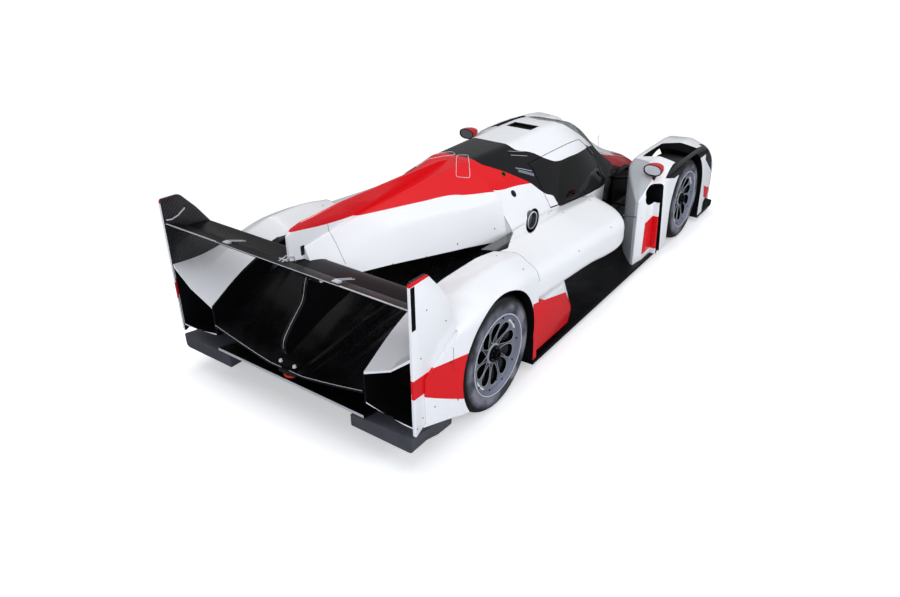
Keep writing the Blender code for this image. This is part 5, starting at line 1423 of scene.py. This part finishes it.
def wing():
    """Main plane and flap between the endplates, with trailing strips, brackets and the pylon's clamp."""
    front, level = WING_FRONT, WING_FRONT_HEIGHT
    main = prism("wing_main_plane", wing_section(front, level, WING_CHORD, WING_TILT, WING_THICKNESS, 0.0,
        24), "X", -WING_HALF_SPAN, WING_HALF_SPAN, "wing_black")
    dress(main, "chassis", "wing_main", angle=50.0)
    flap_front = front + WING_CHORD * 0.97
    flap_outline = wing_section(flap_front, level + 0.046, 0.125, FLAP_TILT, 0.008, 0.0, 24)
    flap = prism("wing_flap_plane", flap_outline, "X", -WING_HALF_SPAN, WING_HALF_SPAN, "wing_black")
    dress(flap, "chassis", "wing_flap", angle=50.0)
    skin = skin_of(flap, main)
    turn = radians(FLAP_TILT)
    edge = Vector((0.0, flap_front + 0.121 * cos(turn), level + 0.046 + 0.121 * sin(turn)))

    def strip(name, start, end, width, rise):
        """Flat bar on the flap's upper face along its trailing edge."""
        along = Vector((0.0, cos(turn), sin(turn)))
        up = Vector((0.0, -sin(turn), cos(turn)))
        corners = [edge + along * a + up * b for a, b in ((0.003, 0.0), (0.003, rise), (-width, rise),
            (-width, 0.0))]
        return loft(name, [[Vector((x, p.y, p.z)) for p in corners] for x in (start, end)], "edge_light")

    trims = [strip("trailing_strip", -WING_HALF_SPAN + 0.002, WING_HALF_SPAN - 0.002, 0.006, 0.0036)]
    for side in (1, -1):
        trims.append(strip("end_strip", side * 0.46, side * 0.893, 0.016, 0.0046))
        for x in (0.4, 0.42):
            trims.append(tube("flap_bracket", [(side * x, front + 0.15, level + 0.05),
                (side * x, flap_front + 0.05, level + 0.085), (side * (x + 0.01), flap_front + 0.075,
                level + 0.086)], 0.0028, "edge_light", 8))
        trims.append(block("bracket_pad", (side * 0.41 - 0.02, flap_front + 0.056, level + 0.0765),
            (side * 0.41 + 0.02, flap_front + 0.088, level + 0.088), "edge_light"))
        for x in (0.14, 0.62):
            for y in (0.02, 0.075):
                trims.append(stud("wing_screw", skin, (side * x, flap_front + y, level + 0.1), 0.0032,
                    "bolt_dark"))
    loop = [(-0.012, front + 0.165, level + 0.045), (-0.012, front + 0.175, level + 0.075),
        (-0.012, front + 0.205, level + 0.085), (-0.012, front + 0.235, level + 0.078),
        (-0.006, front + 0.262, level + 0.072)]
    for shift in (0.0, 0.024):
        trims.append(tube("pylon_clamp", [(x + shift, y, z) for x, y, z in loop], 0.0032, "edge_light", 8))
    trims.append(tube("pylon_rod", [(-0.03, front + 0.235, level + 0.079),
        (0.03, front + 0.235, level + 0.079)], 0.0042, "edge_light", 8))
    dress(joined("wing_trim", trims), "chassis")
    for side in (1, -1):
        name = side_name(side)
        inner = WING_HALF_SPAN + SEAT
        plate = plate_form(f"wing_endplate_{name}", ENDPLATE_SIDE, inner, inner + ENDPLATE_THICKNESS,
            "endplate_paint", "carbon_gloss", side)
        dress(plate, "chassis", f"endplate_{name}")
        skin = skin_of(plate)
        outside = side * (inner + ENDPLATE_THICKNESS)
        bits = [ribbon("dark_edge", skin, [(outside, 2.299, 1.092), (outside, 2.299, 0.865)], 0.03,
            "bolt_dark")]
        for y, z in ((2.3, 0.87), (2.255, 0.69), (2.255, 0.34), (2.3, 0.3), (2.05, 0.8), (2.2, 0.93)):
            bits.append(stud("plate_screw", skin, (outside, y, z), 0.004, "bolt_dark"))
        foot = side * inner
        arc = [(foot, 2.3, 0.99), (foot, 2.265, 0.983), (foot, 2.22, 0.995), (foot, 2.17, 1.025)]
        bits.append(ribbon("inner_strip", skin, arc, 0.008, "edge_light", 0.003))
        dress(joined(f"endplate_trim_{name}", bits), "chassis")


DECK = [
    (COVER_FRONT, 0.6, 0.6, POD_INNER - SEAT),
    (POD_REAR + SEAT, 0.6, 0.635, POD_INNER - SEAT),
    (POD_REAR + SEAT + 0.001, 0.6, 0.635, FENDER_INNER - 0.02 - SEAT),
    (1.58, 0.56, 0.64, FENDER_INNER - 0.02 - SEAT),
    (1.9, 0.47, 0.56, FENDER_INNER - 0.02 - SEAT),
    (2.12, 0.385, 0.475, FENDER_INNER - 0.02 - SEAT),
    (REAR_END - 0.003, 0.318, 0.405, FENDER_INNER - 0.02 - SEAT),
]


def deck_height(x, y, middle, outer, half):
    """Deck section: level in the middle, rising to the fenders, with three soft ribs each side."""
    away = abs(x)
    rise = 0.0
    if away > 0.12:
        rise = (outer - middle) * ((away - 0.12) / (half - 0.12)) ** 1.15
    for at_rear, at_front, height in ((0.085, 0.3, 0.009), (0.16, 0.41, 0.008), (0.26, 0.52, 0.006)):
        share = min(1.0, max(0.0, (REAR_END - y) / 0.7))
        line = at_rear + (at_front - at_rear) * share ** 0.8
        fade = min(1.0, max(0.0, (y - 1.45) / 0.2)) * min(1.0, max(0.0, (REAR_END - y) / 0.12))
        rise += height * fade * exp(-((away - line) / 0.016) ** 2)
    return middle + rise


def rear_deck():
    """Black deck from the cover down to the lip over the crash box."""
    rows = []
    for a, b in zip(DECK, DECK[1:]):
        count = 1 if b[0] - a[0] < 0.01 else max(2, round((b[0] - a[0]) / 0.03))
        for k in range(count):
            t = k / count
            rows.append(tuple(p + (q - p) * t for p, q in zip(a, b)))
    rows.append(DECK[-1])
    across = 72
    form = bmesh.new()
    grid = []
    for y, middle, outer, half in rows:
        line = [half * (2 * k / across - 1) for k in range(across + 1)]
        grid.append([form.verts.new((x, y, deck_height(x, y, middle, outer, half))) for x in line])
    under = [[form.verts.new(v.co - Vector((0, 0, 0.012))) for v in row] for row in grid]
    for layer in (grid, under):
        for a, b in zip(layer, layer[1:]):
            for i in range(across):
                form.faces.new((a[i], a[i + 1], b[i + 1], b[i]))
    for a, b in ((grid[0], under[0]), (grid[-1], under[-1])):
        for i in range(across):
            form.faces.new((a[i], a[i + 1], b[i + 1], b[i]))
    for end in (0, -1):
        for a, b, c, d in zip(grid, grid[1:], under[1:], under):
            form.faces.new((a[end], b[end], c[end], d[end]))
    made = piece("panel_rear_deck", form, "deck_black")
    shaped(made, prism("spine_room", grown(curved_outline(SPINE, 0.04), SEAT), "X", -SPINE_HALF - SEAT,
        SPINE_HALF + SEAT, "deck_black"))
    dress(made, "chassis", "rear_deck", angle=50.0)
    skin = skin_of(made)
    y = REAR_END - 0.005
    lips = []
    for side in (1, -1):
        line = [(side * x, y, deck_height(x, y, 0.318, 0.405, FENDER_INNER - 0.0203) + 0.001)
            for x in (0.03, 0.12, 0.22, 0.32, 0.42, 0.5, 0.575)]
        lips.append(ribbon("deck_lip", skin, line, 0.003, "edge_light", 0.0014))
    for x, y in ((0.3, 1.25), (0.45, 1.25), (0.5, 1.6), (0.38, 2.05), (0.2, 2.2), (0.46, 2.24)):
        for side in (1, -1):
            lips.append(stud("deck_screw", skin, (side * x, y, 0.6), 0.0045, "bolt_dark"))
    lips.append(block("lip_tongue", (-0.07, 2.235, 0.316), (0.07, 2.3175, 0.338), "carbon_disc"))
    for x in (-0.054, 0.054):
        lips.append(round_bar("tongue_bolt", (x, 2.3, 0.336), (x, 2.3, 0.352), 0.013, 6, "pale_tape_and_highlight",
            0.009))
    dress(joined("deck_trim", lips), "chassis")
    edge = [(0.0, y, z) for y, z in curved_outline(SPINE, 0.04)[21:49]]
    dress(tube("spine_edge", [(x, y - 0.002, z) for x, y, z in edge], 0.0026, "edge_light", 8), "chassis")


def tail_box(side):
    """Low charcoal box at each rear corner, its outer lower corner rounded."""
    inner, outer = 0.48, WING_HALF_SPAN - 0.001
    rings = []
    for y, low, high in ((1.99, 0.11, 0.165), (2.1, 0.117, 0.187), (2.2, 0.145, 0.205),
            (2.26, 0.145, 0.213), (REAR_END - 0.004, 0.145, 0.2235), (REAR_END, 0.149, 0.2205)):
        corners = [(outer, low, 0.03, 4), (outer, high + 0.02, 0.006, 2), (inner, high, 0.006, 2),
            (inner, low, 0.006, 2)]
        rings.append(rounded_ring(corners, y, 1, side))
    return loft(f"tail_block_{side_name(side)}", rings, "block_grey")


def diffuser():
    """Rising tunnel roof with its strakes; the rear edge is trimmed in pale grey."""
    start, end, half, thickness = 1.3 + SEAT, REAR_END, 0.575, 0.018
    form_rows = []
    for k in range(25):
        share = k / 24
        y = start + share * (end - start)
        low = 0.045 + 0.19 * share ** 1.4
        form_rows.append([Vector((half, y, low)), Vector((half, y, low + thickness)),
            Vector((-half, y, low + thickness)), Vector((-half, y, low))])
    made = loft("tunnel_roof", form_rows, "carbon_satin")
    made.data.materials.append(MATERIALS["edge_light"])
    for face in made.data.polygons:
        if face.normal.y > 0.9:
            face.material_index = 1
    pieces = [made, tail_box(1), tail_box(-1)]
    for k in range(6):
        x = 0.562 * (2 * k / 5 - 1)
        outline = [(start + 0.1, 0.049), (end - 0.3, 0.049), (end - 0.01, 0.229), (end - 0.01, 0.233),
            (start + 0.7, 0.165), (start + 0.45, 0.103)]
        pieces.append(prism("strake", outline, "X", x - 0.006, x + 0.006, "carbon_satin"))
    dress(joined("diffuser_tunnel", pieces), "chassis", "diffuser")


def tail_fittings():
    """Crash box with its bright bolts and lugs, and the towing eye below it."""
    rows = []
    for share in (0.0, 0.25, 0.5, 0.75, 0.96, 1.0):
        y = 1.975 + SEAT + share * (REAR_END - 0.012 - 1.975 - SEAT)
        w, low, high = 0.08 - 0.01 * share, 0.274, 0.372 - 0.072 * share
        if share == 1.0:
            w, low, high = w - 0.004, low + 0.004, high - 0.004
        rows.append(rounded_ring([(-w, low, 0.01, 3), (w, low, 0.01, 3), (w, high, 0.014, 3),
            (-w, high, 0.014, 3)], y))
    box = loft("crash_structure", rows, "carbon_gloss")
    dress(box, "chassis", "crash_box")
    skin = skin_of(box)
    bits = []
    for x, y in ((0.048, 2.285), (-0.048, 2.285), (0.052, 2.2), (-0.052, 2.2)):
        bits.append(stud("crash_bolt", skin, (x, y, 0.34), 0.0085, "bright", 0.004, 6))
    for x in (-0.045, 0.045):
        bits.append(tube("crash_lug", [(x, 2.25, 0.318), (x, 2.29, 0.322), (x, 2.306, 0.3)], 0.006,
            "bright", 8))
    dress(joined("crash_fittings", bits), "chassis")
    reach = 0.052
    centre = Vector((0.0, REAR_END - 0.003 - reach, 0.274 - SEAT - 0.007))
    ring = [(x, centre.y + y, centre.z) for x, y in around(0.045, 48)]
    eye = tube("tow_eye", ring, 0.0066, "tow_red", 14, closed=True)
    lug = block("tow_lug", (-0.018, centre.y - 0.075, centre.z - 0.007),
        (0.018, centre.y - 0.043, centre.z + 0.007), "tow_red")
    dress(joined("towing_eye", [eye, lug]), "chassis", "tow_ring")


# Openings, mirrors and lamps


def exhaust(side):
    """Round outlet in the flank's recess, with a rolled pale rim."""
    name = side_name(side)
    y, z = EXHAUST
    start, end, radius = 0.452 + SEAT, EXHAUST_MOUTH, 0.0625
    profile = [(start, 0.0), (start, radius - 0.002), (start + 0.003, radius), (end - 0.003, radius),
        (end, radius - 0.0015), (end, radius - 0.0035), (end - 0.003, radius - 0.005),
        (0.464, radius - 0.005), (0.464, 0.0)]
    pipe = turned(f"outlet_{name}", profile, "steel", 64, side)
    pipe.data.materials.append(MATERIALS["heat_grey"])
    for face in pipe.data.polygons:
        if face.center.x * side < 0.47 and Vector(face.center).yz.length < radius - 0.004:
            face.material_index = 1
    pipe.location = (0.0, y, z)
    dress(pipe, "chassis", f"exhaust_{name}")
    ring = [(side * 0.499, y + a, z + b) for a, b in around(0.059, 64)]
    dress(tube(f"outlet_rim_{name}", ring, 0.0036, "pale_tape_and_highlight", 10, closed=True), "chassis")


def mirror(side):
    """Teardrop mirror housing on its foot, black lip, bright glass."""
    name = side_name(side)
    x, y, z = side * 0.872, -0.69, 0.797

    def oval(dy, w, h):
        """Egg-shaped section, fuller than an ellipse."""
        made = []
        for s, c in around(1.0, 48):
            made.append(Vector((x + w * copysign(abs(c) ** 0.85, c), y + dy,
                z + h * copysign(abs(s) ** 0.85, s))))
        return made

    rows = ((-0.13, 0.028, 0.017), (-0.124, 0.038, 0.024), (-0.1, 0.055, 0.034), (-0.06, 0.068, 0.042),
        (-0.025, 0.073, 0.0455), (0.0, 0.0735, 0.046))
    shell = loft(f"mirror_shell_{name}", [oval(*row) for row in rows], "housing_red")
    shaped(shell, loft("glass_bed", [oval(-0.006, 0.067, 0.04), oval(0.01, 0.067, 0.04)], "bolt_dark"))
    parts = [shell, loft("mirror_glass", [oval(-0.0058, 0.066, 0.039), oval(-0.0035, 0.066, 0.039)],
        "mirror"), tube("mirror_lip", [p - Vector((0, 0.0012, 0)) for p in oval(0.0, 0.069, 0.0415)],
        0.0042, "carbon_disc", 8, closed=True)]
    foot = []
    for height, grow in ((z - 0.14, 0.0), (z - 0.12, 0.0), (z - 0.06, -0.0015), (z - 0.02, 0.0)):
        foot.append([Vector((x + a * (0.008 + grow), y - 0.065 + b * (0.025 + grow), height))
            for a, b in ((0.2, -1.0), (1.0, -0.5), (1.0, 0.5), (0.2, 1.0), (-0.2, 1.0), (-1.0, 0.5),
            (-1.0, -0.5), (-0.2, -1.0))])
    parts.append(loft("mirror_foot", foot, "deck_black"))
    dress(joined(f"mirror_{name}", parts), "chassis", f"mirror_{name}")


def headlight(side):
    """Clear cover flush with the fender over a dark tray with three lamps."""
    name = side_name(side)
    rows = [fender_ring(s, side) for s in fair(FRONT_FENDER, 5)]
    cover = loft(f"lamp_cover_{name}", rows, "lens")
    inner = loft("lamp_cover_inside", rows, "lens")
    inner.location = (0.0, 0.006, -0.004)
    shaped(cover, (lens_zone("lamp_edge", side, 0.0, "lens"), TRIM), inner)
    tray = loft("lamp_tray", rows, "inner_carbon")
    tray.location = (0.0, 0.06, -0.02)
    shaped(tray, (lens_zone("lamp_back", side, -0.001, "inner_carbon"), TRIM))
    tray.location = (0.0, 0.0, 0.0)
    skin = skin_of(tray)
    parts = [tray]
    for k in range(3):
        x = side * (0.69 + 0.07 * k)
        here = skin.ray_cast(Vector((x, -2.6, 0.365)), Vector((0, 1, 0)))[0]
        if here is None:
            continue
        y = min(here.y, -2.06)
        bowl = [(0.004, 0.0), (0.002, 0.012), (-0.008, 0.022), (-0.022, 0.027), (-0.024, 0.028),
            (-0.024, 0.031), (0.01, 0.031), (0.01, 0.0)]
        lamp = turned("lamp_bowl", bowl, "bright", 32)
        lamp.data.transform(Matrix.Translation((x, y, 0.365)) @ Matrix.Rotation(radians(90), 4, "Z"))
        parts.append(lamp)
    dress(joined(f"lamp_unit_{name}", parts), "chassis")
    dress(cover, "chassis", f"headlight_{name}")


for side in (1, -1):
    exhaust(side)
    mirror(side)
    headlight(side)
wing()
rear_deck()
diffuser()
tail_fittings()


# Cabin


def seat():
    """Foam insert in the seat shell: swollen by a cloth run, with sewn channels drawn after it."""
    base = BODY_BOTTOM + TUB_WALL + SEAT
    outline = [(-0.49, base + 0.004), (0.02, base + 0.004), (0.275, 0.615), (0.235, 0.65), (-0.075, 0.245),
        (-0.38, 0.235), (-0.49, 0.252)]
    made = prism("padded_seat", curved_outline(outline, 0.03, 4), "X", -0.19, 0.19, "cloth")
    remesh = made.modifiers.new("cells", "REMESH")
    remesh.mode = "VOXEL"
    remesh.voxel_size = 0.008
    shaped(made)
    start = [v.co.copy() for v in made.data.vertices]
    scene = bpy.context.scene
    cloth = made.modifiers.new("swelling", "CLOTH")
    cloth.settings.use_pressure = True
    cloth.settings.uniform_pressure_force = 4.0
    cloth.settings.effector_weights.gravity = 0.0
    for step in range(1, 21):
        scene.frame_set(step)
        bpy.context.view_layer.update()
    mesh = bpy.data.meshes.new_from_object(made.evaluated_get(bpy.context.evaluated_depsgraph_get()))
    made.modifiers.clear()
    scene.frame_set(1)
    for vertex, before in zip(mesh.vertices, start):
        moved = vertex.co - before
        vertex.co = before + moved * min(1.0, 0.01 / max(moved.length, 1e-9))
    made.data = mesh
    for vertex in made.data.vertices:
        x, z = vertex.co.x, vertex.co.z
        vertex.co.z = max(z, base + 0.001)
        vertex.co.x = max(-0.1995, min(0.1995, x))
        sewn = min(abs(abs(x) - 0.075), abs(abs(x) - 0.15))
        vertex.co.z -= 0.006 * exp(-(sewn / 0.007) ** 2) * (1.0 if z > base + 0.08 else 0.0)
    smooth = made.modifiers.new("smooth", "SUBSURF")
    smooth.levels = smooth.render_levels = 1
    shaped(made)
    dress(made, "chassis", "seat", angle=80.0)
    skin = skin_of(made)
    straps = []
    for side in (1, -1):
        straps.append(ribbon("shoulder_strap", skin, mirrored([(0.06, 0.225, 0.66), (0.06, 0.1, 0.5),
            (0.055, -0.04, 0.3), (0.03, -0.12, 0.255)], side), 0.045, "webbing", 0.0016))
        straps.append(ribbon("lap_strap", skin, mirrored([(0.19, -0.1, 0.25), (0.1, -0.12, 0.25),
            (0.025, -0.13, 0.25)], side), 0.045, "webbing", 0.0016))
    straps.append(stud("buckle", skin, (0.0, -0.13, 0.26), 0.028, "bright", 0.012, 32))
    dress(joined("harness", straps), "chassis")


def dashboard():
    """Dash with its display, and the steering wheel."""
    dash = block("dash_body", (-0.6, -0.69, 0.48), (0.6, -0.61, 0.585), "carbon_satin")
    shaped(dash, (hull_solid("dash_ends", TUB_WALL + 0.0009, TUB_FRONT + 0.1, CABIN_REAR, "carbon_satin"),
        TRIM))
    parts = [dash, round_bar("column", (0, -0.63, 0.545), (0, -0.452, 0.594), 0.02, 24, "steel")]
    tilt = Matrix.Rotation(radians(-12), 4, "X")
    rim = []
    for s, c in around(1.0, 64):
        x, z = 0.128 * copysign(abs(c) ** 0.65, c), 0.068 * s
        rim.append(tilt @ Vector((x, 0.0, z)) + Vector((0.0, -0.438, 0.6)))
    parts.append(tube("steering_rim", rim, 0.0125, "inner_carbon", 12, closed=True))
    plate = [(-0.108, 0.545), (0.108, 0.545), (0.108, 0.655), (-0.108, 0.655)]
    parts.append(prism("wheel_plate", curved_outline(plate, 0.02), "Y", -0.45, -0.436, "carbon_gloss"))
    parts.append(prism("wheel_display", curved_outline([(-0.04, 0.585), (0.04, 0.585), (0.04, 0.635),
        (-0.04, 0.635)], 0.006), "Y", -0.436, -0.4335, "mirror_dark"))
    for k in range(5):
        for side in (1, -1):
            x, z = side * (0.058 + 0.022 * (k % 2)), 0.56 + 0.021 * k
            parts.append(round_bar("wheel_button", (x, -0.437, z), (x, -0.43, z), 0.006, 16,
                "tow_red" if k == 2 else "edge_light"))
    parts.append(prism("dash_display", curved_outline([(-0.11, 0.505), (0.11, 0.505), (0.11, 0.57),
        (-0.11, 0.57)], 0.008), "Y", -0.6105, -0.6085, "mirror_dark"))
    dress(joined("dash_and_wheel", parts), "chassis", "dashboard")


def cage():
    """Padded bars inside the roof, seen through the glass."""
    bars = []
    for side in (1, -1):
        line = [(0.27, -0.66, 0.8), (0.275, -0.5, 0.89), (0.28, -0.25, 0.92), (0.275, 0.05, 0.925),
            (0.27, 0.2, 0.9), (0.33, 0.26, 0.76), (0.4, 0.3, 0.58)]
        bars.append(tube("roof_bar", smooth_line(mirrored(line, side)), 0.016, "inner_carbon", 10))
    bars.append(tube("cross_bar", [(-0.27, 0.2, 0.9), (0.0, 0.21, 0.935), (0.27, 0.2, 0.9)], 0.016,
        "inner_carbon", 10))
    dress(joined("cage_bars", bars), "chassis")


seat()
dashboard()
cage()


# Seams, tapes and small fittings


def seams():
    """Panel joints, pinstripes and quarter-turn fasteners, laid on the finished skins of both sides, with
    thin pale lines on the shoulder ducts and along the fin's top that are painted highlights.
    """
    body = skin_of(*(bpy.data.objects[name] for name in ("panel_tub", "panel_engine_cover",
        "panel_sidepod_left", "panel_sidepod_right")))
    dark = "seam"
    bits = []
    joint = [p for p in hull_ring(read_off(COCKPIT, TUB_REAR - 0.001), 0.0) if p.z > 0.7]
    bits.append(ribbon("cover_joint", body, joint, JOINT_WIDTH, dark))
    for side in (1, -1):
        sill = [(0.56, 0.395, 0.728), (0.545, 0.36, 0.735), (0.52, 0.25, 0.69), (0.516, 0.24, 0.672),
            (0.52, 0.1, 0.672), (0.515, -0.15, 0.655), (0.505, -0.33, 0.63)]
        bits.append(ribbon("sill_pinstripe", body, mirrored(sill, side), JOINT_WIDTH, dark))
        bits.append(ribbon("cover_split", body, mirrored([(0.01, 1.912, 1.07), (0.02, 1.91, 0.96),
            (0.06, 1.908, 0.87), (0.09, 1.908, 0.82)], side), 0.002, dark))
        for y, z in ((0.971, 0.603), (1.18, 0.756), (1.45, 0.6), (1.7, 0.66), (0.85, 0.74)):
            bits.append(stud("cover_fastener", body, (side * 0.4, y, z), PANEL_SCREW, "bolt_dark"))
        for x, y, z in ((0.62, 0.98, 0.75), (0.64, 0.3, 0.76), (0.9, 0.1, 0.6), (0.9, 0.62, 0.62),
                (0.64, -0.14, 0.75)):
            bits.append(stud("pod_fastener", body, (side * x, y, z), PANEL_SCREW, "bolt_dark"))
        bits.append(stud("cooling_hole", body, (side * 0.376, 0.555, 0.883), 0.028, "inner_carbon", 0.0012,
            32))
        here, normal = body.find_nearest(Vector((side * 0.29, 0.543, 1.002)))[:2]
        turn = Vector((0, 0, 1)).rotation_difference(normal).to_matrix()
        ring = [here + normal * 0.0015 + turn @ Vector((x, y, 0.0)) for y, x in around(0.0175, 32)]
        bits.append(tube("filler_ring", ring, 0.0026, "gold", 8, closed=True))
        bits.append(stud("filler_plug", body, here, 0.015, "bolt_dark", 0.0022, 32))
        square = [(0.004, 0.682, 1.12), (0.064, 0.636, 1.12), (0.216, 0.832, 1.045), (0.164, 0.914, 1.064)]
        rounded = [Vector(p) for p in curved_outline([(p[0], p[1]) for p in square], 0.02, 4)]
        loop = []
        for a, b in zip(rounded, rounded[1:] + rounded[:1]):
            count = max(1, ceil((b - a).length / 0.006))
            for k in range(count):
                x, y = a.lerp(b, k / count)
                spot, normal = dropped(body, side * max(x, 0.014), y)
                loop.append(spot + normal * 0.0012)
        bits.append(tube("shoulder_outline", loop, 0.0016, "pale_tape_and_highlight", 6, closed=True))
        # Shoulder ducts: a dark strip and a grey metal strip, with thin pale lines beside them that are
        # painted highlights
        for a, b, width, material in (((0.205, 0.33, 1.085), (0.255, 0.19, 1.06), 0.03, "inner_carbon"),
                ((0.19, 0.325, 1.09), (0.238, 0.19, 1.066), 0.004, "edge_light"),
                ((0.225, 0.335, 1.08), (0.275, 0.19, 1.045), 0.003, "edge_light"),
                ((0.314, 0.393, 0.988), (0.368, 0.26, 0.934), 0.022, "wheel_metal"),
                ((0.29, 0.395, 1.0), (0.345, 0.262, 0.955), 0.004, "edge_light")):
            bits.append(ribbon("shoulder_duct", body, mirrored([a, b], side), width, material, 0.0022))
    roof = [(-0.104, -0.244), (0.104, -0.244), (0.104, -0.126), (-0.104, -0.126), (-0.104, -0.244)]
    frame_line = [dropped(body, x, y)[0] for x, y in roof]
    bits.append(ribbon("roof_inlet_frame", body, frame_line, 0.006, "inner_carbon", 0.0012))
    # Painted highlight: a white line along the fin's top edge
    bits.append(tube("fin_top_edge", [(0.0, 0.92, FIN_TOP - 0.0035), (0.0, 1.8, FIN_TOP - 0.0035),
        (0.0, 2.095, FIN_TOP - 0.0175)], 0.0034, "pale_tape_and_highlight", 10))
    for side in (1, -1):
        bits.append(block("fin_notch", *sorted_box((side * 0.0086, 2.098, 0.938),
            (side * 0.0112, 2.124, 0.992)), "inner_carbon"))
    dress(joined("body_trim", bits), "chassis")


def fender_trim(side):
    """Joints and fasteners of the fenders, the stay to the sidepod and the floor's corner strake."""
    name = side_name(side)
    rear = skin_of(bpy.data.objects[f"panel_rear_fender_{name}"])
    front = skin_of(bpy.data.objects[f"panel_front_fender_{name}"])
    dark = "seam"
    ring = fender_ring(read_off(REAR_FENDER, POD_REAR + 0.002), side)
    joint = [p for p in ring if p.z > 0.42 and abs(p.x) > 0.62]
    bits = [ribbon("fender_joint", rear, joint, JOINT_WIDTH, dark)]
    bits.append(ribbon("tail_joint", rear, mirrored([(0.93, 2.02, 0.64), (0.932, 2.022, 0.56),
        (0.935, 2.02, 0.5)], side), JOINT_WIDTH, dark))
    for x, y, z in ((0.932, 2.045, 0.56), (0.9, 1.26, 0.78), (0.7, 1.26, 0.8), (0.7, 1.98, 0.74),
            (0.935, 2.17, 0.36), (0.935, 1.99, 0.3)):
        bits.append(stud("fender_fastener", rear, (side * x, y, z), FENDER_SCREW, "bolt_dark"))
    for x, y, z in ((0.75, -0.93, 0.8), (0.93, -1.9, 0.6), (0.72, -1.9, 0.74), (0.66, -1.8, 0.78)):
        bits.append(stud("fender_fastener", front, (side * x, y, z), FENDER_SCREW, "bolt_dark"))
    rod = [(0.819, POD_FRONT - 0.002, 0.534), (0.84, -0.4, 0.507), (0.868, -0.535, 0.455)]
    bits.append(tube("pod_stay", mirrored(rod, side), 0.0055, "steel", 10))
    bits.append(tube("pod_stay_end", mirrored([(0.86, -0.505, 0.467), (0.872, -0.56, 0.447)], side), 0.0105,
        "bolt_dark", 10))
    fin = [(-0.96, 0.0445), (-0.89, 0.0445), (-0.905, 0.012), (-0.925, 0.012)]
    bits.append(prism("corner_strake", fin, "X", *span(side, 0.89, 0.898), "carbon_satin"))
    fence = [(-1.8, 0.047), (-2.185, 0.047), (-2.2, 0.095), (-1.96, 0.19), (-1.85, 0.13)]
    bits.append(prism("splitter_fence", curved_outline(fence, 0.02), "X", *span(side, 0.9355, 0.9425),
        "carbon_satin"))
    dress(joined(f"fender_trim_{name}", bits), "chassis")


def nose_trim():
    """Whip aerial, painted arcs and fasteners on the nose."""
    skin = skin_of(bpy.data.objects["panel_nose"])
    foot = dropped(skin, 0.0, -1.59)[0]
    whip = [foot - Vector((0, 0, 0.004)), foot + Vector((0, 0.01, 0.05)), foot + Vector((0, 0.025, 0.095)),
        foot + Vector((0, 0.022, 0.112)), foot + Vector((0, 0.002, 0.118))]
    bits = [tube("aerial", smooth_line(whip), 0.0016, "bolt_dark", 8),
        stud("aerial_foot", skin, foot, 0.009, "bolt_dark", 0.006, 20)]
    for side in (1, -1):
        for inner, outer, paint in ((0.105, 0.15, "pale_tape_and_highlight"), (0.122, 0.168, "housing_red")):
            arc = []
            for k in range(9):
                t = k / 8
                y = -2.15 + 0.9 * t
                x = inner + (outer - inner) * t + 0.03 * sin(pi * t)
                arc.append(dropped(skin, side * x, y)[0])
            bits.append(ribbon("nose_arc", skin, arc, 0.006, paint))
        for x, y in ((0.1, -1.25), (0.17, -1.3), (0.12, -1.8)):
            spot = dropped(skin, side * x, y)[0]
            bits.append(stud("nose_fastener", skin, spot, FENDER_SCREW, "bolt_dark"))
    dress(joined("nose_trim", bits), "chassis")


seams()
nose_trim()
fender_trim(1)
fender_trim(-1)


# What stays as it is gets its finish

for material, kept in (
    ("carbon_satin", ["floor"]),
    ("carbon_gloss", ["front_splitter"]),
    ("steel", ["engine", "knuckle_front_left", "knuckle_front_right"]),
    ("bolt_dark", ["front_suspension_left", "front_suspension_right", "rear_suspension"]),
):
    for node in kept:
        for slot in nodes[node].material_slots:
            slot.material = MATERIALS[material]
